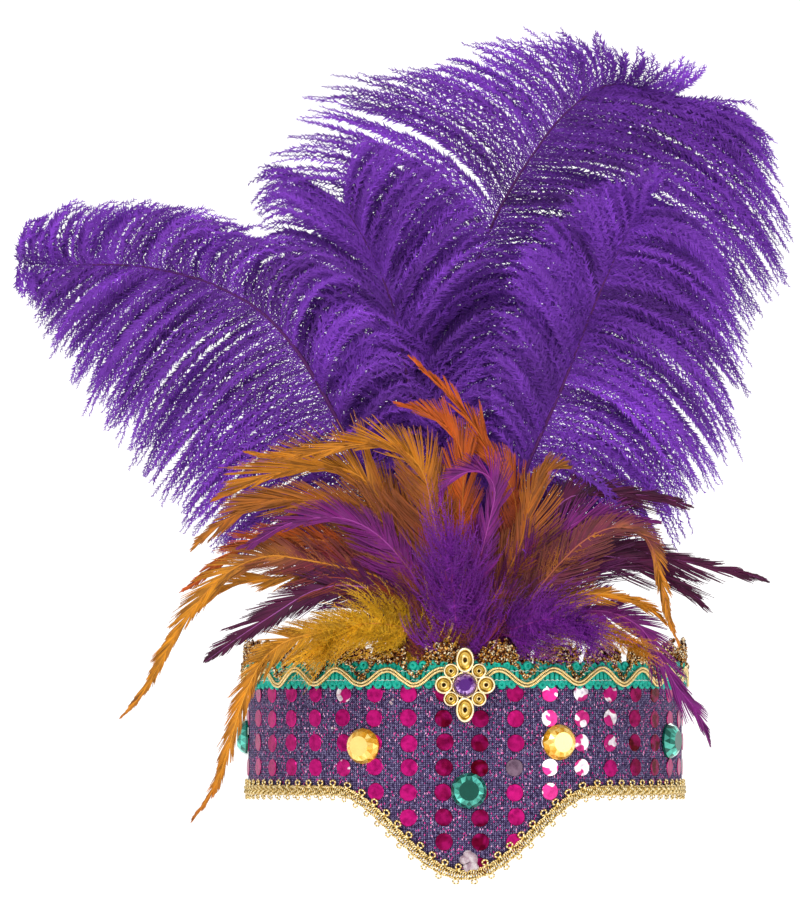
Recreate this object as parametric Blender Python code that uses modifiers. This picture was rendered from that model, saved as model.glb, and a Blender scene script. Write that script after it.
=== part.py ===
"""Carnival feather headdress: a stiff ring crown with a front point, gold and teal trims,
flat-backed gems, a brooch, and a crest of ostrich plumes, hackles and marabou tufts.

Metres, +Z up. The front faces -Y and +X is on the right as seen from the front. The origin is
the centre of the head opening, in the plane of the crown's straight lower edge.
"""
import math

import bmesh
import bpy
from mathutils import Vector

# Crown ring
BAND_RADIUS = 0.0918
BAND_WALL = 0.0022
BAND_HEIGHT = 0.0530
POINT_DROP = 0.0350
POINT_SPREAD = math.radians(36.0)
RING_SIDES = 96

# Trims
GIMP_HEIGHT = 0.0114
GIMP_THICKNESS = 0.0010
GIMP_RISE = 0.0008
WAVES = 25
WAVE_PHASE = math.radians(1.4)
WAVE_SWING = 0.0035
WAVE_CORD = 0.0024
LACE_HEIGHT = 0.0097
LACE_NOTCH = 0.62
LACE_THICKNESS = 0.0012
BRAID_WIDTH = 0.0040
BRAID_THICKNESS = 0.0015

# Gems and brooch
GEM_DIAMETER = 0.0150
GEM_HEIGHT = 0.0046
GEM_SIDES = 12
GEM_GIRDLE = 0.22
GEM_FACETS = ((0.76, 0.52), (0.70, 0.26))
BROOCH_HEIGHT_SHARE = 0.83
STONE_DIAMETER = 0.0093
STONE_HEIGHT = 0.0042
STONE_MARGIN = 0.0006
CUP_OVAL = 0.0101
CUP_ROUND = 0.0071
CUP_SMALL = 0.0059
CUP_HEIGHT = 0.0034
CUP_HOLLOW = 0.4
CUP_SIDES = 10
PLATE_THICKNESS = 0.0012

# Crest
HACKLE_QUILL = 0.0013
PLUME_QUILL = 0.0030
QUILL_GAP = 0.0005
QUILL_FOOT = 0.0300
NECK_RISE = 0.0024
HACKLE_REACH = 0.100
HACKLE_WIDTH = 0.0064
HACKLE_THICKNESS = 0.0012
HACKLE_BARE = 0.22
TUFT_WIDTH = 0.0320
TUFT_THICKNESS = 0.0022
TUFT_BARE = 0.42
VANE_GROWTH = 0.22
VANE_STATIONS = 17
VANE_NOTCH = 0.66
PLUME_REACH = 0.260
PLUME_THICKNESS = 0.0050
PLUME_CURL = 0.600
PLUME_NOTCH = 0.70
LEAN_REACH = 0.090
CREST_SWEEP = 0.400

# Room between pieces that touch
CLEARANCE = 0.0003

COLLECTION_NAME = "carnival_feather_headdress"

# Base colour, roughness, metallic
FINISHES = {
    "band_cloth": ((0.045, 0.032, 0.115), 0.85, 0.0),
    "teal_gimp": ((0.0, 0.35, 0.24), 0.6, 0.0),
    "gold_cord": ((0.75, 0.52, 0.13), 0.35, 0.8),
    "gold_lace": ((0.58, 0.25, 0.02), 0.45, 0.7),
    "emerald": ((0.0, 0.19, 0.115), 0.05, 0.0),
    "amber": ((0.80, 0.38, 0.01), 0.05, 0.0),
    "amethyst": ((0.13, 0.017, 0.26), 0.05, 0.0),
    "brooch_gold": ((0.68, 0.48, 0.10), 0.3, 1.0),
    "ostrich_purple": ((0.10, 0.026, 0.28), 0.8, 0.0),
    "gold_feather": ((0.58, 0.22, 0.01), 0.6, 0.0),
    "brown_feather": ((0.22, 0.045, 0.003), 0.6, 0.0),
    "red_feather": ((0.58, 0.08, 0.007), 0.6, 0.0),
    "burgundy_feather": ((0.08, 0.0, 0.035), 0.6, 0.0),
    "magenta_feather": ((0.22, 0.02, 0.22), 0.6, 0.0),
    "purple_down": ((0.16, 0.017, 0.30), 0.9, 0.0),
    "yellow_down": ((0.70, 0.35, 0.02), 0.9, 0.0),
}

# Round stones: name, finish, degrees round from the front, height as a share of the band's
GEMS = (
    ("gem_emerald_left", "emerald", -88.0, 0.42),
    ("gem_amber_left", "amber", -27.4, 0.35),
    ("gem_emerald_centre", "emerald", 1.0, 0.0),
    ("gem_amber_right", "amber", 25.1, 0.38),
    ("gem_emerald_right", "emerald", 68.4, 0.39),
)

# Cups round the brooch's stone: degrees from the top, length and width of each
CUPS = (
    (0, CUP_OVAL, CUP_ROUND),
    (45, CUP_SMALL, CUP_SMALL),
    (90, CUP_ROUND, CUP_ROUND),
    (135, CUP_SMALL, CUP_SMALL),
    (180, CUP_OVAL, CUP_ROUND),
    (225, CUP_SMALL, CUP_SMALL),
    (270, CUP_ROUND, CUP_ROUND),
    (315, CUP_SMALL, CUP_SMALL),
)

# Hackles: name, finish, place in the row of quills, forward lean, widths of the upper and the
# lower vane as shares of HACKLE_WIDTH, and the shaft's route from the neck in shares of
# HACKLE_REACH, across and up.
HACKLES = (
    ("hackle_gold_low_left", "gold_feather", -13, 0.28, 0.45, 0.60,
     ((-0.33, 0.045), (-0.46, 0.045), (-0.61, 0.020), (-0.73, -0.01), (-0.83, -0.08),
      (-0.89, -0.18), (-0.94, -0.31), (-0.99, -0.48), (-1.04, -0.62), (-1.14, -0.77))),
    ("hackle_burgundy_left", "burgundy_feather", -11, 0.24, 0.45, 0.75,
     ((-0.235, 0.085), (-0.29, 0.140), (-0.36, 0.187), (-0.45, 0.213), (-0.54, 0.215),
      (-0.65, 0.185), (-0.81, 0.087), (-0.95, -0.005), (-1.08, -0.10))),
    ("hackle_gold_inner_left", "gold_feather", -10, 0.10, 0.40, 0.45,
     ((-0.26, 0.145), (-0.36, 0.225), (-0.50, 0.275), (-0.65, 0.270), (-0.78, 0.245),
      (-0.90, 0.240), (-1.01, 0.20), (-1.12, 0.11))),
    ("hackle_gold_long_left", "gold_feather", -9, 0.18, 0.50, 0.65,
     ((-0.25, 0.180), (-0.38, 0.260), (-0.55, 0.300), (-0.68, 0.325), (-0.82, 0.339),
      (-1.00, 0.263), (-1.19, 0.036), (-1.34, -0.224), (-1.44, -0.338))),
    ("hackle_rust_left", "red_feather", -8, 0.10, 0.45, 0.45,
     ((-0.21, 0.190), (-0.34, 0.310), (-0.50, 0.380), (-0.68, 0.415), (-0.85, 0.405),
      (-0.98, 0.345), (-1.11, 0.242), (-1.19, 0.19))),
    ("hackle_magenta_left", "magenta_feather", -7, 0.22, 0.50, 0.90,
     ((-0.17, 0.180), (-0.28, 0.343), (-0.37, 0.431), (-0.45, 0.477), (-0.53, 0.498),
      (-0.68, 0.49), (-0.78, 0.452), (-0.87, 0.40), (-0.95, 0.368))),
    ("hackle_brown_left", "brown_feather", -6, 0.12, 0.95, 0.60,
     ((-0.15, 0.230), (-0.26, 0.410), (-0.38, 0.505), (-0.52, 0.555), (-0.66, 0.570),
      (-0.85, 0.565), (-0.97, 0.502), (-1.05, 0.452), (-1.14, 0.368))),
    ("hackle_amber_left", "gold_feather", -5, 0.06, 0.50, 1.30,
     ((-0.12, 0.240), (-0.25, 0.440), (-0.35, 0.575), (-0.43, 0.665), (-0.54, 0.712),
      (-0.69, 0.704), (-0.80, 0.679), (-0.95, 0.616), (-1.05, 0.57))),
    ("hackle_gold_upper_left", "gold_feather", -4, 0.18, 0.50, 0.70,
     ((-0.10, 0.300), (-0.14, 0.550), (-0.18, 0.696), (-0.27, 0.785), (-0.40, 0.805),
      (-0.57, 0.780), (-0.77, 0.750), (-0.92, 0.771))),
    ("hackle_purple_upright", "magenta_feather", -3, 0.10, 0.50, 0.50,
     ((-0.07, 0.154), (-0.075, 0.330), (-0.08, 0.519), (-0.11, 0.65), (-0.16, 0.76))),
    ("hackle_red_blade", "red_feather", -1, 0.16, 0.90, 0.90,
     ((-0.02, 0.300), (-0.01, 0.560), (-0.008, 0.704), (-0.02, 0.790), (-0.08, 0.880),
      (-0.17, 0.935), (-0.29, 0.977))),
    ("hackle_magenta_arch", "magenta_feather", 0, 0.32, 0.50, 0.65,
     ((0.03, 0.200), (0.08, 0.397), (0.11, 0.519), (0.125, 0.60), (0.105, 0.66),
      (0.055, 0.69), (-0.01, 0.68), (-0.07, 0.64), (-0.11, 0.54))),
    ("hackle_orange_long", "red_feather", 1, 0.08, 0.35, 0.55,
     ((0.10, 0.200), (0.185, 0.36), (0.214, 0.502), (0.21, 0.565), (0.18, 0.649),
      (0.10, 0.759), (0.06, 0.847), (0.0, 0.931), (-0.065, 1.01), (-0.14, 1.08),
      (-0.235, 1.174))),
    ("hackle_gold_small_right", "brown_feather", 2, 0.18, 0.50, 0.70,
     ((0.14, 0.200), (0.235, 0.40), (0.265, 0.55), (0.30, 0.65), (0.36, 0.70), (0.44, 0.71))),
    ("hackle_burgundy_upper_right", "burgundy_feather", 3, 0.10, 0.55, 0.90,
     ((0.19, 0.180), (0.29, 0.370), (0.35, 0.500), (0.43, 0.580), (0.52, 0.60),
      (0.63, 0.595), (0.75, 0.592), (0.86, 0.574), (0.94, 0.549))),
    ("hackle_magenta_right", "magenta_feather", 4, 0.20, 0.70, 0.70,
     ((0.20, 0.130), (0.31, 0.300), (0.40, 0.427), (0.48, 0.486), (0.58, 0.507),
      (0.68, 0.495), (0.81, 0.481))),
    ("hackle_gold_fall_right", "gold_feather", 5, 0.32, 0.55, 0.75,
     ((0.22, 0.100), (0.37, 0.280), (0.50, 0.405), (0.61, 0.455), (0.70, 0.450),
      (0.76, 0.405), (0.79, 0.335), (0.81, 0.250), (0.83, 0.162), (0.85, 0.074), (0.89, -0.04))),
    ("hackle_burgundy_long_right", "burgundy_feather", 6, 0.10, 0.40, 0.70,
     ((0.19, 0.110), (0.29, 0.270), (0.40, 0.370), (0.52, 0.405), (0.64, 0.385),
      (0.78, 0.345), (0.98, 0.305), (1.11, 0.280), (1.26, 0.242))),
    ("hackle_burgundy_right", "burgundy_feather", 7, 0.20, 0.50, 0.65,
     ((0.19, 0.083), (0.25, 0.178), (0.33, 0.272), (0.43, 0.330), (0.58, 0.338),
      (0.72, 0.310), (0.84, 0.250), (0.91, 0.205), (0.98, 0.158))),
    ("hackle_gold_right", "gold_feather", 8, 0.34, 0.45, 0.60,
     ((0.20, 0.066), (0.29, 0.115), (0.42, 0.165), (0.58, 0.180), (0.70, 0.150),
      (0.79, 0.105), (0.84, 0.05))),
    ("hackle_magenta_low_right", "magenta_feather", 10, 0.24, 0.50, 0.90,
     ((0.215, 0.056), (0.33, 0.090), (0.47, 0.110), (0.57, 0.110), (0.66, 0.085),
      (0.74, 0.03), (0.79, -0.05), (0.84, -0.13), (0.88, -0.203), (0.94, -0.275),
      (0.98, -0.342), (1.02, -0.447))),
)

# Marabou tufts, in the same columns, with their widths as shares of TUFT_WIDTH
TUFTS = (
    ("tuft_yellow_left", "yellow_down", -12, 0.92, 0.48, 0.52,
     ((-0.30, 0.050), (-0.41, 0.056), (-0.51, 0.030), (-0.58, -0.04))),
    ("tuft_purple_centre", "purple_down", -2, 0.60, 0.44, 0.50,
     ((-0.04, 0.090), (-0.05, 0.220), (-0.06, 0.37))),
    ("tuft_purple_right", "purple_down", 9, 1.10, 0.46, 0.52,
     ((0.235, 0.046), (0.32, 0.072), (0.42, 0.074), (0.50, 0.02))),
    ("tuft_gold_right", "gold_feather", 11, 0.60, 0.16, 0.26,
     ((0.32, 0.022), (0.46, 0.026), (0.60, 0.012), (0.74, -0.05))),
)

# Ostrich plumes: name, centre of the quill from the middle in shares of a quill pitch, lean
# back, and rows of shaft, upper barb tip and lower barb tip, each across and up, in shares of
# PLUME_REACH from the neck.
PLUMES = (
    ("plume_low_right", 2, 0.12, (
        (0.020, 0.10, -0.01, 0.12, 0.06, 0.10),
        (0.070, 0.20, 0.02, 0.27, 0.21, 0.12),
        (0.115, 0.31, 0.04, 0.41, 0.32, 0.15),
        (0.155, 0.40, 0.06, 0.53, 0.37, 0.21),
        (0.190, 0.49, 0.09, 0.63, 0.42, 0.29),
        (0.215, 0.55, 0.14, 0.71, 0.44, 0.40),
        (0.250, 0.63, 0.20, 0.77, 0.43, 0.52),
        (0.285, 0.69, 0.27, 0.78, 0.38, 0.62))),
    ("plume_left", -3, 0.24, (
        (-0.075, 0.10, -0.04, 0.13, -0.12, 0.10),
        (-0.140, 0.22, -0.04, 0.31, -0.37, 0.13),
        (-0.185, 0.31, -0.06, 0.43, -0.42, 0.16),
        (-0.210, 0.36, -0.10, 0.51, -0.45, 0.19),
        (-0.250, 0.43, -0.16, 0.58, -0.48, 0.23),
        (-0.300, 0.50, -0.24, 0.64, -0.52, 0.28),
        (-0.365, 0.55, -0.36, 0.68, -0.56, 0.33),
        (-0.435, 0.58, -0.44, 0.71, -0.61, 0.39),
        (-0.500, 0.597, -0.52, 0.71, -0.65, 0.46),
        (-0.575, 0.605, -0.60, 0.70, -0.68, 0.51),
        (-0.660, 0.605, -0.67, 0.68, -0.70, 0.55),
        (-0.725, 0.61, -0.71, 0.64, -0.72, 0.57))),
    ("plume_middle", -1, 0.38, (
        (-0.030, 0.10, -0.045, 0.115, -0.01, 0.115),
        (-0.055, 0.22, -0.16, 0.24, 0.04, 0.30),
        (-0.075, 0.33, -0.25, 0.38, 0.07, 0.45),
        (-0.095, 0.43, -0.30, 0.51, 0.07, 0.59),
        (-0.115, 0.53, -0.33, 0.61, 0.04, 0.70),
        (-0.150, 0.62, -0.34, 0.69, -0.05, 0.77),
        (-0.195, 0.70, -0.33, 0.76, -0.16, 0.81))),
    ("plume_right", 0, 0.54, (
        (0.005, 0.10, -0.01, 0.12, 0.025, 0.12),
        (-0.005, 0.25, -0.08, 0.33, 0.09, 0.31),
        (-0.010, 0.38, -0.14, 0.49, 0.17, 0.40),
        (-0.008, 0.52, -0.19, 0.65, 0.28, 0.44),
        (0.015, 0.60, -0.22, 0.77, 0.38, 0.47),
        (0.052, 0.69, -0.20, 0.85, 0.44, 0.50),
        (0.105, 0.78, -0.12, 0.90, 0.48, 0.56),
        (0.150, 0.84, -0.04, 0.94, 0.505, 0.63),
        (0.195, 0.885, 0.08, 0.99, 0.52, 0.69),
        (0.232, 0.903, 0.21, 0.995, 0.515, 0.75),
        (0.282, 0.897, 0.32, 0.965, 0.495, 0.80),
        (0.335, 0.885, 0.40, 0.945, 0.47, 0.845))),
)


def remove_old_objects():
    for thing in list(bpy.data.objects):
        bpy.data.objects.remove(thing, do_unlink=True)


def make_collection(name):
    collection = bpy.data.collections.new(name)
    bpy.context.scene.collection.children.link(collection)
    return collection


def make_material(name):
    colour, roughness, metallic = FINISHES[name]
    material = bpy.data.materials.new(name)
    material.use_nodes = True
    shader = material.node_tree.nodes["Principled BSDF"]
    shader.inputs["Base Color"].default_value = (*colour, 1.0)
    shader.inputs["Roughness"].default_value = roughness
    shader.inputs["Metallic"].default_value = metallic
    return material


def finish_part(thing, finish, smooth=True):
    """Name the finish, shade the faces and move the object into the part's collection."""
    thing.data.materials.clear()
    thing.data.materials.append(MATERIALS[finish])
    if smooth:
        thing.data.shade_smooth()
        thing.data.set_sharp_from_angle(angle=math.radians(35.0))
    for collection in list(thing.users_collection):
        collection.objects.unlink(thing)
    PARTS.objects.link(thing)


def object_from_bmesh(name, mesh):
    data = bpy.data.meshes.new(name)
    mesh.to_mesh(data)
    mesh.free()
    thing = bpy.data.objects.new(name, data)
    bpy.context.scene.collection.objects.link(thing)
    return thing


def ring_wall(name, inner_radius, wall, low, high, finish, sides=RING_SIDES, phase=0.0):
    """A round wall whose lower and upper edges follow functions of the angle from the front."""
    bpy.ops.mesh.primitive_cylinder_add(vertices=sides, radius=inner_radius, depth=1.0,
                                        end_fill_type="NOTHING")
    ring = bpy.context.object
    ring.name = name
    for vertex in ring.data.vertices:
        angle = math.atan2(vertex.co.x, -vertex.co.y) + phase
        edge = high if vertex.co.z > 0.0 else low
        vertex.co.x = inner_radius * math.sin(angle)
        vertex.co.y = -inner_radius * math.cos(angle)
        vertex.co.z = edge(math.remainder(angle, 2.0 * math.pi))
    solid = ring.modifiers.new("wall", "SOLIDIFY")
    solid.thickness = wall
    solid.offset = 1.0
    solid.use_even_offset = True
    finish_part(ring, finish)
    return ring


def hem_height(angle):
    """Height of the band's lower edge: straight, with a rounded point at the front."""
    if abs(angle) >= POINT_SPREAD:
        return 0.0
    return -POINT_DROP * math.cos(0.5 * math.pi * angle / POINT_SPREAD) ** 2


def make_band():
    ring_wall("crown_band", BAND_RADIUS - BAND_WALL, BAND_WALL, hem_height,
              lambda angle: BAND_HEIGHT, "band_cloth")


GIMP_TOP = BAND_HEIGHT + GIMP_RISE
GIMP_INNER = BAND_RADIUS + CLEARANCE
GIMP_OUTER = GIMP_INNER + GIMP_THICKNESS
LACE_TOP = GIMP_TOP + CLEARANCE + LACE_HEIGHT


def lace_edge(angle):
    """Height of the lace: a rounded fan over each crest of the cord."""
    fan = 0.5 + 0.5 * math.cos(WAVES * (angle - WAVE_PHASE))
    return LACE_TOP - LACE_HEIGHT * LACE_NOTCH * fan ** 2


def make_trims():
    ring_wall("top_gimp", GIMP_INNER, GIMP_THICKNESS, lambda angle: GIMP_TOP - GIMP_HEIGHT,
              lambda angle: GIMP_TOP, "teal_gimp")
    ring_wall("lace_fans", GIMP_INNER, LACE_THICKNESS, lambda angle: GIMP_TOP + CLEARANCE,
              lace_edge, "gold_lace", sides=WAVES * 4, phase=WAVE_PHASE)
    ring_wall("hem_braid", BAND_RADIUS + CLEARANCE, BRAID_THICKNESS,
              lambda angle: hem_height(angle) - 0.5 * BRAID_WIDTH,
              lambda angle: hem_height(angle) + 0.5 * BRAID_WIDTH, "gold_cord")
    make_wave_cord()


def make_wave_cord():
    """A closed tube that runs in waves round the middle of the gimp."""
    points_a_wave = 6
    count = WAVES * points_a_wave
    radius = GIMP_OUTER + CLEARANCE + 0.5 * WAVE_CORD
    middle = GIMP_TOP - 0.5 * GIMP_HEIGHT
    curve = bpy.data.curves.new("wave_cord", "CURVE")
    curve.dimensions = "3D"
    curve.bevel_depth = 0.5 * WAVE_CORD
    curve.bevel_resolution = 0
    spline = curve.splines.new("POLY")
    spline.points.add(count - 1)
    spline.use_cyclic_u = True
    for index in range(count):
        angle = 2.0 * math.pi * index / count + WAVE_PHASE
        height = middle - WAVE_SWING * math.cos(WAVES * (angle - WAVE_PHASE))
        spline.points[index].co = (radius * math.sin(angle), -radius * math.cos(angle), height, 1.0)
    cord = bpy.data.objects.new("wave_cord", curve)
    bpy.context.scene.collection.objects.link(cord)
    cord.data.materials.append(MATERIALS["gold_cord"])
    bpy.context.scene.collection.objects.unlink(cord)
    PARTS.objects.link(cord)


def cut_stone(name, diameter, height, finish, radius_from_axis, angle, level):
    """A flat-backed stone: girdle, two rows of facets and a table, with its back to the band."""
    girdle = GEM_GIRDLE * height
    mesh = bmesh.new()
    bmesh.ops.create_cone(mesh, cap_ends=True, segments=GEM_SIDES, radius1=0.5 * diameter,
                          radius2=0.5 * diameter, depth=girdle)
    bmesh.ops.translate(mesh, verts=mesh.verts, vec=(0.0, 0.0, 0.5 * girdle))
    for taper, rise in GEM_FACETS:
        top = max(mesh.faces, key=lambda face: face.calc_center_median().z)
        raised = bmesh.ops.extrude_discrete_faces(mesh, faces=[top])["faces"][0]
        bmesh.ops.scale(mesh, verts=raised.verts, vec=(taper, taper, 1.0))
        bmesh.ops.translate(mesh, verts=raised.verts, vec=(0.0, 0.0, rise * height))
    bmesh.ops.recalc_face_normals(mesh, faces=mesh.faces)
    stone = object_from_bmesh(name, mesh)
    stone.rotation_euler = (0.5 * math.pi, 0.0, angle)
    stone.location = (radius_from_axis * math.sin(angle), -radius_from_axis * math.cos(angle), level)
    finish_part(stone, finish, smooth=False)
    return stone


def make_gems():
    for name, finish, degrees, share in GEMS:
        cut_stone(name, GEM_DIAMETER, GEM_HEIGHT, finish, BAND_RADIUS + CLEARANCE,
                  math.radians(degrees), share * BAND_HEIGHT)


def make_cup(turn, length, width):
    """A low oval cup whose rim stands proud of its hollow, lying away from the stone."""
    mesh = bmesh.new()
    sunk = 0.5 * PLATE_THICKNESS
    bmesh.ops.create_cone(mesh, cap_ends=True, segments=CUP_SIDES, radius1=0.5, radius2=0.44,
                          depth=CUP_HEIGHT - sunk)
    bmesh.ops.translate(mesh, verts=mesh.verts, vec=(0.0, 0.0, 0.5 * (CUP_HEIGHT + sunk)))
    top = max(mesh.faces, key=lambda face: face.calc_center_median().z)
    bmesh.ops.inset_region(mesh, faces=[top], thickness=0.12)
    bmesh.ops.translate(mesh, verts=top.verts, vec=(0.0, 0.0, -CUP_HOLLOW * CUP_HEIGHT))
    bmesh.ops.scale(mesh, verts=mesh.verts, vec=(width, length, 1.0))
    away = 0.5 * STONE_DIAMETER + STONE_MARGIN + 0.5 * length
    cup = object_from_bmesh("cup", mesh)
    cup.rotation_euler = (0.0, 0.0, -turn)
    cup.location = (away * math.sin(turn), away * math.cos(turn), 0.0)
    cup.hide_render = True
    cup.display_type = "WIRE"
    bpy.context.scene.collection.objects.unlink(cup)
    CUTTERS.objects.link(cup)
    return cup


def make_brooch():
    """The setting is a plate and its cups in one piece. It stands on the wave cord."""
    back = GIMP_OUTER + 2.0 * CLEARANCE + WAVE_CORD
    level = BROOCH_HEIGHT_SHARE * BAND_HEIGHT
    plate_radius = 0.5 * STONE_DIAMETER + STONE_MARGIN + 0.5 * CUP_SMALL
    mesh = bmesh.new()
    bmesh.ops.create_cone(mesh, cap_ends=True, segments=20, radius1=plate_radius,
                          radius2=plate_radius, depth=PLATE_THICKNESS)
    bmesh.ops.translate(mesh, verts=mesh.verts, vec=(0.0, 0.0, 0.5 * PLATE_THICKNESS))
    setting = object_from_bmesh("brooch_setting", mesh)
    holder = bpy.data.objects.new("brooch_place", None)
    CUTTERS.objects.link(holder)
    holder.rotation_euler = (0.5 * math.pi, 0.0, 0.0)
    holder.location = (0.0, -back, level)
    setting.parent = holder
    for degrees, length, width in CUPS:
        cup = make_cup(math.radians(degrees), length, width)
        cup.parent = holder
        joined = setting.modifiers.new("cup", "BOOLEAN")
        joined.operation = "UNION"
        joined.solver = "EXACT"
        joined.object = cup
    finish_part(setting, "brooch_gold", smooth=False)
    cut_stone("brooch_stone", STONE_DIAMETER, STONE_HEIGHT, "amethyst",
              back + PLATE_THICKNESS + CLEARANCE, 0.0, level)


ROW_RADIUS = BAND_RADIUS - BAND_WALL - CLEARANCE - 0.5 * HACKLE_QUILL
PLUME_ROW_RADIUS = ROW_RADIUS - 0.5 * HACKLE_QUILL - CLEARANCE - 0.5 * PLUME_QUILL
NECK_HEIGHT = LACE_TOP + NECK_RISE
FORWARD = Vector((0.0, -1.0, 0.0))


def quill_place(radius, pitch, place):
    """Where a quill stands in its row along the inner face of the band."""
    angle = pitch * place / radius
    return radius * math.sin(angle), -radius * math.cos(angle)


def smooth_route(points, steps):
    """Points of a smooth curve through a route, evenly parted by the route's own distances."""
    ends = [points[0] * 2.0 - points[1]] + points + [points[-1] * 2.0 - points[-2]]
    route = []
    for index in range(1, len(ends) - 2):
        p0, p1, p2, p3 = ends[index - 1:index + 3]
        t1 = (p1 - p0).length ** 0.5
        t2 = t1 + (p2 - p1).length ** 0.5
        t3 = t2 + (p3 - p2).length ** 0.5
        for step in range(steps):
            t = t1 + (t2 - t1) * step / steps
            a1 = p0.lerp(p1, t / t1)
            a2 = p1.lerp(p2, (t - t1) / (t2 - t1))
            a3 = p2.lerp(p3, (t - t2) / (t3 - t2))
            b1 = a1.lerp(a2, t / t2)
            b2 = a2.lerp(a3, (t - t1) / (t3 - t1))
            route.append(b1.lerp(b2, (t - t1) / (t2 - t1)))
    route.append(points[-1].copy())
    return route


def spaced(route, count):
    """A number of points at even distances along a route."""
    lengths = [0.0]
    for here, ahead in zip(route, route[1:]):
        lengths.append(lengths[-1] + (ahead - here).length)
    points = []
    index = 0
    for step in range(count):
        wanted = lengths[-1] * step / (count - 1)
        while index < len(route) - 2 and lengths[index + 1] < wanted:
            index += 1
        span = lengths[index + 1] - lengths[index]
        points.append(route[index].lerp(route[index + 1], (wanted - lengths[index]) / span))
    return points


def crest_sweep(x):
    """How far the crest bends back at its sides, as the crown does."""
    return x * x / (2.0 * CREST_SWEEP)


def loft(name, sections, finish):
    """A closed solid through rings of points that all have the same count."""
    mesh = bmesh.new()
    rings = [[mesh.verts.new(point) for point in section] for section in sections]
    for ring, ahead in zip(rings, rings[1:]):
        for index in range(len(ring)):
            after = (index + 1) % len(ring)
            mesh.faces.new((ring[index], ring[after], ahead[after], ahead[index]))
    mesh.faces.new(reversed(rings[0]))
    mesh.faces.new(rings[-1])
    bmesh.ops.recalc_face_normals(mesh, faces=mesh.faces)
    thing = object_from_bmesh(name, mesh)
    finish_part(thing, finish)
    return thing


def make_vaned_feather(row, width, thickness, bare):
    """A feather with a flat vane on each side of its shaft, both edges cut into locks. The
    share called bare is the stretch of shaft below the vanes."""
    name, finish, place, lean, upper, lower, route = row
    x, y = quill_place(ROW_RADIUS, HACKLE_QUILL + QUILL_GAP, place)
    neck = Vector((x, y, NECK_HEIGHT))
    points = [neck - Vector((0.0, 0.0, 0.6 * NECK_RISE)), neck]
    for across, up in route:
        points.append(Vector((across * HACKLE_REACH, y, LACE_TOP + up * HACKLE_REACH)))
    shaft = spaced(smooth_route(points, 8), VANE_STATIONS)
    length = sum((ahead - here).length for here, ahead in zip(shaft, shaft[1:]))
    quill = 0.5 * HACKLE_QUILL
    foot = Vector((x, y, QUILL_FOOT))
    sections = [quill_section(foot, quill)]
    for index, point in enumerate(shaft):
        share = index / (VANE_STATIONS - 1)
        before = shaft[max(index - 1, 0)]
        after = shaft[min(index + 1, VANE_STATIONS - 1)]
        along = (after - before).normalized()
        side = along.cross(FORWARD)
        forward = lean * LEAN_REACH * (1.0 - math.exp(-share * length / LEAN_REACH))
        centre = point.copy()
        centre.y += crest_sweep(point.x) - crest_sweep(x) - forward
        grown = min(1.0, max(0.0, (share - bare) / VANE_GROWTH)) * (1.0 - share ** 5)
        lock = 1.0 if index % 2 else VANE_NOTCH
        reach = along * (0.5 * width * grown * lock)
        bare_width = quill * (1.0 - 0.7 * share)
        up_width = max(bare_width, width * upper * grown * lock)
        down_width = max(bare_width, width * lower * grown * lock)
        half = quill + (0.5 * thickness - quill) * min(1.0, grown * 2.0)
        half *= 1.0 - 0.7 * share ** 2
        sections.append([
            centre - side * up_width + reach * upper,
            centre + FORWARD * half,
            centre + side * down_width + reach * lower,
            centre - FORWARD * half,
        ])
    return loft(name, sections, finish)


def quill_section(centre, half):
    """Four points round an upright quill, in the order of a feather's section."""
    side = Vector((0.0, 0.0, 1.0)).cross(FORWARD)
    return [centre - side * half, centre + FORWARD * half, centre + side * half,
            centre - FORWARD * half]


def plume_depth(y, lean, point, x):
    """Depth of a plume's sheet. Each plume has its own lean, so no two sheets meet, and all
    of them curl forward alike towards the top."""
    rise = point.z - NECK_HEIGHT
    curl = rise * rise / (2.0 * PLUME_CURL)
    return y + lean * rise - curl + crest_sweep(point.x) - crest_sweep(x)


def make_plume(row):
    """An ostrich plume: a quill, a thick shaft line and a sheet of locks on each side."""
    name, place, lean, rows = row
    x, y = quill_place(PLUME_ROW_RADIUS, PLUME_QUILL + QUILL_GAP, place)
    neck = Vector((x, y, NECK_HEIGHT))
    lines = []
    for column in (0, 2, 4):
        route = [Vector((r[column] * PLUME_REACH, y, LACE_TOP + r[column + 1] * PLUME_REACH))
                 for r in rows]
        lines.append(smooth_route(route, 4))
    quill = 0.5 * PLUME_QUILL
    turned = rows[0][2] > rows[0][0]
    sections = [quill_ring(Vector((x, y, QUILL_FOOT)), quill, turned),
                quill_ring(neck, quill, turned)]
    count = len(lines[0])
    for index in range(count):
        share = index / (count - 1)
        lock = 1.0 if index % 2 else PLUME_NOTCH
        shaft, upper, lower = (line[index] for line in lines)
        upper = shaft.lerp(upper, lock)
        lower = shaft.lerp(lower, lock)
        half = 0.5 * PLUME_THICKNESS * (1.0 - 0.5 * share)
        sections.append(plume_section([upper, shaft, lower], half, y, lean, x))
    return loft(name, sections, "ostrich_purple")


def quill_ring(centre, radius, turned):
    """Eight points round an upright quill, from the side where the upper barbs are."""
    first = -1.0 if turned else 1.0
    turns = [0.25 * math.pi * step for step in range(8)]
    return [centre + Vector((-first * radius * math.cos(turn), radius * math.sin(turn), 0.0))
            for turn in turns]


def plume_section(line, half, y, lean, x):
    """Eight points: each barb tip, the middle of each side front and back, and the shaft."""
    upper, shaft, lower = line
    placed = []
    for point in (upper, shaft.lerp(upper, 0.5), shaft, shaft.lerp(lower, 0.5), lower):
        moved = point.copy()
        moved.y = plume_depth(y, lean, point, x)
        placed.append(moved)
    first, near, middle, far, last = placed
    thin = 0.7 * half
    return [first, near - FORWARD * thin, middle - FORWARD * half, far - FORWARD * thin,
            last, far + FORWARD * thin, middle + FORWARD * half, near + FORWARD * thin]


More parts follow.
